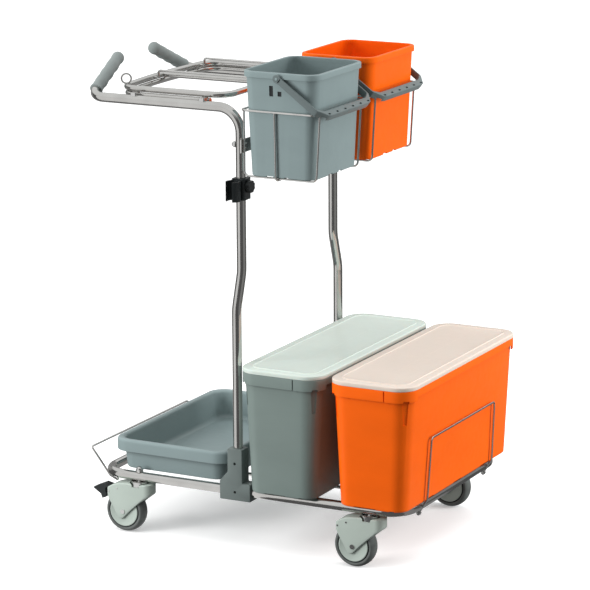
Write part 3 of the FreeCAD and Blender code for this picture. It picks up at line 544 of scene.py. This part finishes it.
# Slots under the rim: start from the bucket's middle, width, lower end and upper end
BUCKET_SLOTS = ((-23.6, 9.3, 1048.0, 1071.5), (-3.0, 9.4, 1049.0, 1060.0))
SLOT_INSET = 5.6
SLOT_HALF_DEPTH = 2.2
SLOT_FLOOR_DEPTH = (6.4, 12)
SLOT_FLOOR_AREA = 4e-4
# Marks along the foot: start from the bucket's middle and width
BUCKET_END_MARKS = ((-36.8, 18.0), (6.6, 11.5))
BUCKET_SIDE_MARKS = ((-36.0, 20.0), (14.0, 16.0))
BUCKET_END_MARK_H = 2.6
BUCKET_SIDE_MARK_H = 3.4
BUCKET_MARK_REACH = 6
BAIL_PIVOT_DROP = 12.8
BAIL_REACH = 132.0
BAIL_CORNER = 22.0
BAIL_SOFT = 1.5
BAIL_DROP = math.radians(36)
NOTCHES = 6
NOTCH_PITCH = 38.2
NOTCH_HALF = 5.0
POCKET_HALF = 14.0


def bucket_outline(side):
    """Rim outline of a small bucket: the CAD node's box without its hinge pins."""
    x0, x1, y0, y1, z0, z1 = place_of("bucket_" + side)
    return x0, x1, y0 + HINGE_PIN, y1 - HINGE_PIN, z0, z1


def bucket_marks(x0, x1, y0, y1, z0):
    """Cuts for the slots under a small bucket's rim and the marks along its foot."""
    low_x, low_y = BUCKET_DRAFT
    middle, centre_y = (x0 + x1) / 2, (y0 + y1) / 2
    half, reach = SLOT_HALF_DEPTH, BUCKET_MARK_REACH
    cuts = bmesh.new()
    for hand, edge in ((-1, y0), (1, y1)):
        face = edge - hand * SLOT_INSET
        for start, width, low, high in BUCKET_SLOTS:
            add_box(cuts, middle + start, middle + start + width, face - half, face + half, low, high)
        foot = edge - hand * low_y
        for start, width in BUCKET_END_MARKS:
            add_box(cuts, middle + start, middle + start + width, foot - reach, foot + reach,
                    z0 - 2, z0 + BUCKET_END_MARK_H)
    for hand, edge in ((-1, x0), (1, x1)):
        foot = edge - hand * low_x
        for start, width in BUCKET_SIDE_MARKS:
            add_box(cuts, foot - reach, foot + reach, centre_y + start, centre_y + start + width,
                    z0 - 2, z0 + BUCKET_SIDE_MARK_H)
    return cuts


def paint_slot_floor_shade(piece, middle, y0, y1):
    """Gives the floors of a small bucket's slots the black material, as painted shade."""
    # The black on the slot floors is painted shade: the shallow pockets are shown dark, as deep slots would
    # be.
    piece.data.materials.append(LOOKS["black_plastic"])
    shallow, deep = SLOT_FLOOR_DEPTH
    for face in piece.data.polygons:
        spot = face.center / MM
        depth = min(spot.y - y0, y1 - spot.y)
        if not shallow < depth < deep or face.area >= SLOT_FLOOR_AREA:
            continue
        for start, width, low, high in BUCKET_SLOTS:
            inside_x = middle + start - 0.1 < spot.x < middle + start + width + 0.1
            if inside_x and low - 0.1 < spot.z < high + 0.1:
                face.material_index = 1


def bucket(side, slot):
    x0, x1, y0, y1, z0, z1 = bucket_outline(side)
    low_x, low_y = BUCKET_DRAFT
    top, wall = BUCKET_TOP_INSET, BUCKET_WALL
    skirt = z1 - BUCKET_RIM_H
    profile = [
        (low_x + 26, low_y + 26, z0 + 2.2, 8, 0),
        (low_x + 6, low_y + 6, z0 + 2.2, 20, 0.8),
        (low_x + 4, low_y + 4, z0, 22, 0.6),
        (low_x, low_y, z0, 24, 2.6),
        (top, top, z1 - 4, 26, 0.8),
        (2.2, 2.2, z1 - 4, 28, 0.6),
        (2.2, 2.2, skirt, 28, 0.7),
        (0, 0, skirt, 30, 0.7),
        (0, 0, z1, 30, 3.6),
        (top + wall + 1, top + wall + 1, z1, 24, 2.0),
        (top + wall + 0.6, top + wall + 0.6, z1 - 12, 24, 0.8),
        (low_x + wall, low_y + wall, z0 + 5, 22, 7.0),
        (low_x + wall + 24, low_y + wall + 24, z0 + 5, 6, 0),
    ]
    name = "small_bucket_" + side
    mesh = mesh_from(shell((x0, x1, y0, y1), soften(profile), 8), name)
    mesh = carve(mesh, bucket_marks(x0, x1, y0, y1, z0), name)

    middle = (x0 + x1) / 2
    bosses = bmesh.new()
    pivot_z = z1 - BAIL_PIVOT_DROP
    for hand, edge in ((-1, y0), (1, y1)):
        start = Vector((middle, edge - hand * 7.5, pivot_z))
        turned(bosses, [(0.01, 0), (9, 0), (9, 8.2), (8.4, 8.7), (4.1, 8.7), (3.95, 9.0), (3.95, 12.6),
                        (3.7, 13.6), (2.6, 14.25), (0.01, 14.3)], start, (0, hand, 0), 36)
    mesh = join_into(mesh, bosses, name)
    piece = finish_piece(name, mesh, "bucket_" + side, slot, ["bucket_" + side])
    paint_slot_floor_shade(piece, middle, y0, y1)


def strip_ring(place, out, thick, tall):
    """Section of the carrying handle's strip: a rectangle with round corners."""
    ring = []
    for hand_a, hand_b, start in ((1, 1, 0), (-1, 1, 90), (-1, -1, 180), (1, -1, 270)):
        for step in range(4):
            angle = math.radians(start + 30 * step)
            a = hand_a * (thick / 2 - BAIL_SOFT) + BAIL_SOFT * math.cos(angle)
            b = hand_b * (tall - BAIL_SOFT) + BAIL_SOFT * math.sin(angle)
            ring.append(place + out * a + Vector((0, 0, b)))
    return ring


def bail(side):
    """Carrying handle: a moulded strip from pivot to pivot that widens into the notched grip bar."""
    x0, x1, y0, y1, z0, z1 = bucket_outline(side)
    pivot = Vector(((x0 + x1) / 2, (y0 + y1) / 2, z1 - BAIL_PIVOT_DROP))
    half_y = (y1 - y0) / 2 + 1.6
    arm_y = half_y + 2.0
    reach = BAIL_REACH
    corner = BAIL_CORNER
    # Stations from one pivot to the middle of the bar: along the arm, across, thickness, half height
    quarter = [
        (6.0, arm_y, 4.0, 7.6),
        (reach * 0.45, arm_y, 4.0, 7.6),
        (reach - corner, arm_y, 4.4, 7.9),
        (reach - corner + 6, arm_y - 1.5, 6.0, 7.9),
        (reach - 5.5, half_y - corner + 6, 11.0, 7.9),
        (reach - 1.0, half_y - corner - 1, 15.0, 7.9),
        (reach, half_y - corner - 12, 17.0, 7.9),
    ]
    stations = quarter + [(x, -y, thick, tall) for x, y, thick, tall in reversed(quarter)]
    path = [Vector((x, y, 0)) for x, y, _, _ in stations]
    rings = []
    for index, (_, _, thick, tall) in enumerate(stations):
        ahead = (path[min(len(path) - 1, index + 1)] - path[max(0, index - 1)]).normalized()
        rings.append(strip_ring(path[index], Vector((-ahead.y, ahead.x, 0)), thick, tall))
    bm = bmesh.new()
    skin(bm, rings)
    name = "carry_handle_" + side
    mesh = mesh_from(bm, name)
    cuts = bmesh.new()
    for index in range(NOTCHES):
        y = (index - (NOTCHES - 1) / 2) * NOTCH_PITCH
        add_box(cuts, reach + 0.5, reach + 5.0, y - NOTCH_HALF, y + NOTCH_HALF, 4.9, 12)
    for index in range(NOTCHES + 1):
        y = (index - NOTCHES / 2) * NOTCH_PITCH * 0.9
        add_box(cuts, reach - 5.5, reach + 5.5, y - POCKET_HALF, y + POCKET_HALF, -12, -1.5)
    mesh = carve(mesh, cuts, name)
    hubs = bmesh.new()
    for hand in (-1, 1):
        lathe(hubs, [(4.1, 0.2), (4.3, 0.0), (9.1, 0.0), (9.5, 0.4),
                     (9.5, 3.6), (9.0, 4.0), (4.4, 4.0), (4.1, 3.8)],
              Vector((0, hand * half_y, 0)), (0, hand, 0), 40)
    mesh = join_into(mesh, hubs, name)
    mesh.transform(Matrix.Translation(pivot * MM) @ Matrix.Rotation(BAIL_DROP, 4, "Y"))
    finish_piece(name, mesh, "bail_" + side, "grey_plastic", ["bail_" + side], HANDLE_GREY)


# ---------------------------------------------------------------- tray

TRAY_RIM_H = 29.0
TRAY_FLOOR = 3.5


def tray():
    x0, x1, y0, y1, z0, z1 = place_of("tray")
    skirt = z1 - TRAY_RIM_H
    profile = [
        (70, 64, z0 + 0.6, 12, 0),
        (28, 24, z0 + 0.6, 26, 1),
        (26, 22, z0, 28, 1),
        (21, 18, z0, 30, 4),
        (13, 12, z1 - 8, 38, 3),
        (3, 3, z1 - 8, 39, 3),
        (3, 3, skirt, 39, 1),
        (0, 0, skirt, 42, 1.4),
        (0, 0, z1, 42, 8),
        (16, 16, z1, 35, 8),
        (26, 22, z0 + TRAY_FLOOR, 27, 13),
        (80, 74, z0 + TRAY_FLOOR, 10, 0),
    ]
    mesh = mesh_from(shell((x0, x1, y0, y1), soften(profile, 7), 10), "low_tray")
    finish_piece("low_tray", mesh, "tray", "grey_plastic", ["tray"])


# ---------------------------------------------------------------- casters

HOUSING_FRONT = 39.0
HOUSING_BACK = -82.0
HOUSING_OUTLINE = (
    (HOUSING_BACK, 99.0), (-67.0, 110.0), (-45.0, 117.5), (-20.0, 119.6),
    (HOUSING_FRONT, 119.6), (HOUSING_FRONT, 103.0),
    (33.0, 94.0), (12.0, 78.0), (-18.0, 51.0), (-34.0, 34.0), (-40.0, 31.5), (-47.0, 34.0),
    (-70.0, 72.0), (-80.0, 91.0),
)
HOUSING_SLICES = 22
HOUSING_EDGE_R = 3.2
NOSE_FRONT = 19.0
NOSE_BACK = 12.0
WHEEL_POCKET_R = 53.0
WHEEL_POCKET_HALF = 17.8
RACE_POCKET_R = 23.5
RACE_POCKET_Z = 112.0
TRAIL = 35.0
WHEEL_R = 50.0
TREAD_STEPS = 16
TREAD_HALF = 15.6
TREAD_FALL = 5.6
TYRE_SIDE = [(39.1, -14.6), (40.0, -15.6), (42.6, -16.0)]
DISC_PROFILE = [
    (4.6, 14.1), (35.6, 14.1), (36.0, 14.5), (36.0, 15.9), (35.2, 16.4), (33.4, 16.4), (32.6, 15.9),
    (12.0, 15.5), (11.2, 16.3), (8.4, 16.4), (7.8, 15.9), (4.9, 15.8), (4.6, 15.5),
]


def bore(cuts, radius, start, end, centre, axis, around):
    """Adds a round cut from start to end along an axis."""
    turned(cuts, [(0.01, start), (radius, start), (radius, end), (0.01, end)], centre, axis, around)


def rounded_polygon(points, softness, steps=5):
    """Closed outline with each corner rounded by softness."""
    count = len(points)
    ring = []
    for index in range(count):
        here = Vector(points[index])
        before = Vector(points[index - 1])
        after = Vector(points[(index + 1) % count])
        first = here.lerp(before, min(0.45, softness / (before - here).length))
        last = here.lerp(after, min(0.45, softness / (after - here).length))
        for step in range(steps + 1):
            t = step / steps
            ring.append(first * (1 - t) ** 2 + here * 2 * t * (1 - t) + last * t ** 2)
    return ring


def drawn_in(ring, distance):
    """Moves a closed 2-D outline inwards by a distance."""
    count = len(ring)
    area = sum(ring[i - 1].x * ring[i].y - ring[i].x * ring[i - 1].y for i in range(count))
    turn = 1 if area > 0 else -1
    moved = []
    for index in range(count):
        along = (ring[(index + 1) % count] - ring[index - 1]).normalized()
        moved.append(ring[index] + Vector((-along.y, along.x)) * turn * distance)
    return moved


def housing_mesh(x, y, half):
    """Caster housing: its side outline, drawn in towards the outer faces and rounded about the swivel."""
    outline = rounded_polygon(HOUSING_OUTLINE, 7.0)
    bm = bmesh.new()
    rings = []
    edge_round = HOUSING_EDGE_R
    for index in range(HOUSING_SLICES + 1):
        across = -math.cos(math.pi * index / HOUSING_SLICES) * half
        edge = min(edge_round, half - abs(across))
        shrink = edge_round - math.sqrt(max(0.0, edge_round ** 2 - (edge_round - edge) ** 2))
        nose = 1 - math.sqrt(max(0.0, 1 - (across / half) ** 2))
        front = HOUSING_FRONT - nose * NOSE_FRONT
        back = HOUSING_BACK + nose * NOSE_BACK
        ring = []
        for point in drawn_in(outline, shrink):
            ring.append(Vector((x + min(front, max(back, point.x)), y + across, point.y)))
        rings.append(ring)
    skin(bm, rings)
    mesh = mesh_from(bm, "housing", math.radians(50))
    cuts = bmesh.new()
    axle = Vector((x - TRAIL, y, WHEEL_R))
    bore(cuts, WHEEL_POCKET_R, -WHEEL_POCKET_HALF, WHEEL_POCKET_HALF, axle, (0, 1, 0), 96)
    bore(cuts, RACE_POCKET_R, 0, 20, Vector((x, y, RACE_POCKET_Z)), (0, 0, 1), 64)
    return mesh, cuts


def caster(name):
    _, x1, y0, y1, _, _ = place_of("housing_" + name)
    y = (y0 + y1) / 2
    x = x1 - HOUSING_FRONT
    half = (y1 - y0) / 2
    mesh, cuts = housing_mesh(x, y, half)
    piece_name = "caster_housing_" + name
    mesh = carve(mesh, cuts, piece_name)
    finish_piece(piece_name, mesh, "swivel_" + name, "caster_plastic", ["housing_" + name])

    axle = Vector((x - TRAIL, y, WHEEL_R))
    bm = bmesh.new()
    tread = []
    for step in range(TREAD_STEPS + 1):
        across = -1 + 2 * step / TREAD_STEPS
        tread.append((WHEEL_R - TREAD_FALL * abs(across) ** 2.6, across * TREAD_HALF))
    far_side = [(radius, -across) for radius, across in reversed(TYRE_SIDE)]
    lathe(bm, TYRE_SIDE + tread + far_side, axle, (0, 1, 0), 96)
    finish_piece("tyre_ring_" + name, mesh_from(bm, "tyre_ring_" + name, math.radians(40)),
                 "wheel_" + name, "tyre_rubber", ["tyre_" + name])

    bm = bmesh.new()
    for hand in (-1, 1):
        lathe(bm, DISC_PROFILE, axle, (0, hand, 0), 72)
    finish_piece("wheel_discs_" + name, mesh_from(bm, "wheel_discs_" + name), "wheel_" + name,
                 "caster_plastic", ["wheel_covers_" + name])


# ---------------------------------------------------------------- frame connectors

CONN_NECK_HALF = 18.7
CONN_SHOULDER = 156.5
CONN_GUSSET_TOP = 181.5
CONN_HOLES = (202.0, 135.0)
CONN_HOLE_R = 3.3
CONN_HOLE_DEPTH = 12


def connector(side):
    """Two-part clamp between rail and upright: a plate outline with a slanting shoulder on the tray side."""
    sign = -1 if side == "near" else 1
    halves = ["connector_" + side + "_outer", "connector_" + side + "_inner"]
    x0, x1, ya, yb, z0, z1 = place_of(halves[0])
    _, _, yc, yd, _, _ = place_of(halves[1])
    y0, y1 = min(ya, yc), max(yb, yd)
    middle = (x0 + x1) / 2
    neck = CONN_NECK_HALF
    outline = rounded_polygon([(x0, z0), (x1, z0), (x1, CONN_SHOULDER), (middle + neck, CONN_SHOULDER),
                               (middle + neck, z1), (middle - neck, z1), (middle - neck, CONN_GUSSET_TOP),
                               (x0, CONN_SHOULDER + 2)], 2.2, 3)
    seam = ya if sign > 0 else yb
    bm = bmesh.new()
    rings = []
    for y, shrink in ((y0, 1.3), (y0 + 0.4, 0.5), (y0 + 1.3, 0.0), (seam - 0.5, 0.0), (seam - 0.2, 0.5),
                      (seam + 0.2, 0.5), (seam + 0.5, 0.0), (y1 - 1.3, 0.0), (y1 - 0.4, 0.5), (y1, 1.3)):
        rings.append([Vector((p.x, y, p.y)) for p in drawn_in(outline, shrink)])
    skin(bm, rings)
    name = "frame_connector_" + side
    mesh = mesh_from(bm, name)
    cuts = bmesh.new()
    face = y0 if sign < 0 else y1
    for z in CONN_HOLES:
        bore(cuts, CONN_HOLE_R, -1, CONN_HOLE_DEPTH, Vector((middle, face, z)), (0, -sign, 0), 24)
    mesh = carve(mesh, cuts, name)
    finish_piece(name, mesh, "chassis", "connector_plastic", halves)


# ---------------------------------------------------------------- hand grips

BAR_CORNER = (-403.2, 227.6, 1010.0)
GRIP_END = (-418.2, 71.0, 1083.0)
GRIP_START = 27.0
GRIP_BORE_R = 11.2
GRIP_MOUTH_R = 14.4
GRIP_R = 14.1
GRIP_DOME_R = 14.95
GRIP_DOME = 15.0
GRIP_WAVES = 4
WAVE_H = 0.85
GRIP_STEPS = 64
GRIP_AROUND = 40


def hand_grip(side):
    """Grip sleeve with four finger waves on its lower side, a flange at its mouth and a domed end."""
    sign = -1 if side == "near" else 1
    corner = Vector((BAR_CORNER[0], sign * BAR_CORNER[1], BAR_CORNER[2]))
    end = Vector((GRIP_END[0], sign * GRIP_END[1], GRIP_END[2]))
    heading = (end - corner).normalized()
    start = corner + heading * GRIP_START
    length = (end - start).length
    side_way = heading.cross(Vector((0, 0, 1))).normalized()
    up = side_way.cross(heading).normalized()
    straight = length - GRIP_DOME
    bm = bmesh.new()
    rings = []

    def ring_at(along, radius_of):
        ring = []
        for index in range(GRIP_AROUND):
            angle = 2 * math.pi * index / GRIP_AROUND
            out = side_way * math.cos(angle) + up * math.sin(angle)
            ring.append(start + heading * along + out * radius_of(angle))
        return ring

    rings.append(ring_at(0.0, lambda a: GRIP_BORE_R))
    rings.append(ring_at(0.0, lambda a: GRIP_MOUTH_R))
    for step in range(GRIP_STEPS + 1):
        along = 0.8 + (straight - 0.8) * step / GRIP_STEPS
        flange = 0.5 * math.exp(-((along - 2.0) / 2.6) ** 2)
        phase = 2 * math.pi * GRIP_WAVES * step / GRIP_STEPS

        def radius_of(angle, phase=phase, flange=flange):
            under = 0.5 - 0.5 * math.sin(angle)
            return GRIP_R + WAVE_H * math.cos(phase) * (0.35 + 0.65 * under) + flange

        rings.append(ring_at(along, radius_of))
    for step in range(1, 9):
        turn = math.pi / 2 * step / 9
        rings.append(ring_at(straight + GRIP_DOME * math.sin(turn),
                             lambda a, t=turn: GRIP_DOME_R * math.cos(t)))
    skin(bm, rings)
    name = "grip_sleeve_" + side
    mesh = mesh_from(bm, name, math.radians(50))
    finish_piece(name, mesh, "chassis", "grip_plastic", ["grip_" + side])


# ---------------------------------------------------------------- pieces

def dress_cad_nodes():
    """Gives every CAD node that stays in view its slot's material; the connector screws get a darker steel
    instead, painted shade for their recessed heads.
    """
    slots = {row["node"]: row["material_slot"] for row in frame["record"]["subparts"]}
    for name, piece in nodes.items():
        piece.data.materials.clear()
        piece.data.materials.append(SCREW_PAINTED_SHADE if name == "connector_screws" else LOOKS[slots[name]])


def make_pieces():
    dress_cad_nodes()
    for colour in ("grey", "orange"):
        mop_box(colour)
    mop_lid("grey", LOOKS["lid_plastic"])
    mop_lid("orange", LID_PAINTED_ORANGE_GLOW)
    bucket("near", "grey_plastic")
    bucket("far", "orange_plastic")
    for side in SIDES:
        connector(side)
        bail(side)
        hand_grip(side)
    tray()
    for name in CASTERS:
        caster(name)


# ---------------------------------------------------------------- floor, light and camera

def glow_material(name, colour, strength, variation):
    """Faintly uneven light-giving surface for the reflection cards."""
    material = bpy.data.materials.new(name)
    material.use_nodes = True
    tree = material.node_tree
    tree.nodes.clear()
    place = tree.nodes.new("ShaderNodeTexCoord").outputs["Object"]
    glow = tree.nodes.new("ShaderNodeEmission")
    glow.inputs["Strength"].default_value = strength
    dark = [c * (1 - variation) for c in colour]
    tree.links.new(tint(tree, noise(tree, place, 0.8, 2.0), dark, colour), glow.inputs["Color"])
    output = tree.nodes.new("ShaderNodeOutputMaterial")
    tree.links.new(glow.outputs["Emission"], output.inputs["Surface"])
    material.cycles.emission_sampling = "NONE"
    return material


def reflection_card(name, points, faces, material):
    """Studio card that is seen only in glossy reflections; it stands for the dark room round the set."""
    mesh = bpy.data.meshes.new(name)
    mesh.from_pydata(points, [], faces)
    mesh.materials.append(material)
    card = bpy.data.objects.new(name, mesh)
    bpy.context.scene.collection.objects.link(card)
    card.visible_camera = False
    card.visible_diffuse = False
    card.visible_transmission = False
    card.visible_shadow = False


# The cards' sizes are in metres, and their directions are in degrees.
CARD_R = 6.0
CARD_TOP = 3.0
CARD_FLOOR = 0.0003
CARD_SECTORS = 72
CAMERA_SIDE = -62.5
CORNER_SIDE = -45.0
BACK_FROM = 115
STREAKS = {"left": (-87.0, -32.0), "right": (38.0, 88.0)}
CARD_GLOW = {"dim": 0.12, "left": 0.90, "right": 0.30, "back": 0.34}


def card_of(index):
    """Which card a sector belongs to, by its angle from the camera's side, positive to the right."""
    off = (360.0 * (index + 0.5) / CARD_SECTORS - CAMERA_SIDE + 180.0) % 360.0 - 180.0
    if abs(off) > BACK_FROM:
        return "back"
    for name, (start, end) in STREAKS.items():
        if start < off < end:
            return name
    return "dim"


def cards():
    """Grey floor disc and wall round the set, with lighter sectors that draw the streaks on the tubes."""
    count = CARD_SECTORS
    low, high = [], []
    for index in range(count):
        angle = 2 * math.pi * index / count
        low.append((CARD_R * math.cos(angle), CARD_R * math.sin(angle), CARD_FLOOR))
        high.append((CARD_R * math.cos(angle), CARD_R * math.sin(angle), CARD_TOP))
    middle = (0.0, 0.0, CARD_FLOOR)
    groups = {name: [] for name in CARD_GLOW}
    for index in range(count):
        after = (index + 1) % count
        faces = groups[card_of(index)]
        faces.append((2 * count, index, after))
        faces.append((index, after, count + after, count + index))
    for name, level in CARD_GLOW.items():
        reflection_card("card_" + name, low + high + [middle], groups[name],
                        glow_material("card_" + name, (1, 1, 1), level, 0.2))


def smooth_change(tree, source, from_range, to_range):
    """Value that goes smoothly from one level to another while the source crosses a range."""
    change = tree.nodes.new("ShaderNodeMapRange")
    change.interpolation_type = "SMOOTHSTEP"
    change.inputs["From Min"].default_value, change.inputs["From Max"].default_value = from_range
    change.inputs["To Min"].default_value, change.inputs["To Max"].default_value = to_range
    tree.links.new(source, change.inputs["Value"])
    return change.outputs["Result"]


def sky(tree):
    """Soft room light: bright above, dimmer below, and darkest from the side of the front corner."""
    background = tree.nodes["Background"]
    way = tree.nodes.new("ShaderNodeTexCoord").outputs["Generated"]
    split = tree.nodes.new("ShaderNodeSeparateXYZ")
    tree.links.new(way, split.inputs["Vector"])
    rise = smooth_change(tree, split.outputs["Z"], (-0.25, 0.6), (0.28, 0.86))
    toward = tree.nodes.new("ShaderNodeVectorMath")
    toward.operation = "DOT_PRODUCT"
    side = math.radians(CORNER_SIDE)
    toward.inputs[1].default_value = (math.cos(side), math.sin(side), 0.0)
    tree.links.new(way, toward.inputs[0])
    dim = smooth_change(tree, toward.outputs["Value"], (0.55, 0.95), (1.0, 0.15))
    level = tree.nodes.new("ShaderNodeMath")
    level.operation = "MULTIPLY"
    tree.links.new(rise, level.inputs[0])
    tree.links.new(dim, level.inputs[1])
    tree.links.new(level.outputs["Value"], background.inputs["Strength"])
    background.inputs["Color"].default_value = (0.985, 1.0, 1.0, 1)


# Camera and lamps: places are in metres, angles in degrees, and an azimuth of 0 looks along +y.
CAMERA_PLACE = (3.17666, -6.11347, 2.15787)
CAMERA_AZIMUTH = 27.48
CAMERA_ELEVATION = 13.218
CAMERA_ROLL = -0.333
CAMERA_LENS = 186.79
SIDE_LAMPS = {"left_box": CAMERA_AZIMUTH - 66, "right_box": CAMERA_AZIMUTH + 84}
LAMP_TARGET = (0.0, 0.0, 0.6)
LAMP_ELEVATION = 10
LAMP_DISTANCE = 2.9
LAMP_SIZE = (1.1, 2.0)
LAMP_POWER = 78
SUN_POWER = 1.15
SUN_SPREAD = 70
FLOOR_REACH = 30.0
FLOOR_Z = -0.0004


def direction(azimuth, elevation):
    """Unit vector from the set towards a place at these angles."""
    a, e = math.radians(azimuth), math.radians(elevation)
    return Vector((math.sin(a) * math.cos(e), -math.cos(a) * math.cos(e), math.sin(e)))


def pale_floor():
    """Wide floor that shows the soft shadow but sends no light back to the trolley."""
    floor_mesh = bpy.data.meshes.new("floor")
    reach = FLOOR_REACH
    floor_mesh.from_pydata([(-reach, -reach, 0), (reach, -reach, 0), (reach, reach, 0), (-reach, reach, 0)],
                           [], [(0, 1, 2, 3)])
    floor = bpy.data.objects.new("floor", floor_mesh)
    bpy.context.scene.collection.objects.link(floor)
    floor.location.z = FLOOR_Z
    material, tree, shader, place = new_material("pale_floor")
    tree.links.new(tint(tree, noise(tree, place, 0.6, 2.0), (0.88, 0.88, 0.88), (0.90, 0.90, 0.90)),
                   shader.inputs["Base Color"])
    shader.inputs["Roughness"].default_value = 0.9
    shader.inputs["Specular IOR Level"].default_value = 0.1
    shader.inputs["Emission Color"].default_value = (1, 1, 1, 1)
    shader.inputs["Emission Strength"].default_value = 0.3
    floor_mesh.materials.append(material)
    floor.visible_diffuse = False


def side_lamp(name, azimuth):
    """Tall soft box that faces the set from one side and isn't reflected by the steel."""
    lamp_data = bpy.data.lights.new(name, "AREA")
    lamp_data.shape = "RECTANGLE"
    lamp_data.size, lamp_data.size_y = LAMP_SIZE
    lamp_data.energy = LAMP_POWER
    lamp = bpy.data.objects.new(name, lamp_data)
    bpy.context.scene.collection.objects.link(lamp)
    out = direction(azimuth, LAMP_ELEVATION)
    lamp.location = Vector(LAMP_TARGET) + out * LAMP_DISTANCE
    lamp.visible_glossy = False
    lamp.rotation_mode = "QUATERNION"
    lamp.rotation_quaternion = (-out).to_track_quat("-Z", "Y")


def studio():
    pale_floor()
    world = bpy.data.worlds.new("studio")
    bpy.context.scene.world = world
    world.use_nodes = True
    sky(world.node_tree)
    for name, azimuth in SIDE_LAMPS.items():
        side_lamp(name, azimuth)
    sun_data = bpy.data.lights.new("overhead", "SUN")
    sun_data.energy = SUN_POWER
    sun_data.angle = math.radians(SUN_SPREAD)
    sun = bpy.data.objects.new("overhead", sun_data)
    bpy.context.scene.collection.objects.link(sun)
    sun.visible_glossy = False
    cards()


def camera():
    data = bpy.data.cameras.new("camera")
    data.sensor_width = 36.0
    data.lens = CAMERA_LENS
    data.clip_start, data.clip_end = 0.1, 100.0
    made = bpy.data.objects.new("camera", data)
    bpy.context.scene.collection.objects.link(made)
    turn = math.radians(CAMERA_AZIMUTH)
    back = direction(CAMERA_AZIMUTH, CAMERA_ELEVATION)
    right = Vector((math.cos(turn), math.sin(turn), 0.0))
    up = back.cross(right)
    roll = math.radians(CAMERA_ROLL)
    right, up = (right * math.cos(roll) + up * math.sin(roll), up * math.cos(roll) - right * math.sin(roll))
    facing = Matrix((right, up, back)).transposed().to_4x4()
    made.matrix_world = Matrix.Translation(Vector(CAMERA_PLACE)) @ facing
    bpy.context.scene.camera = made


make_pieces()
studio()
camera()
bpy.context.scene.view_settings.view_transform = "Standard"
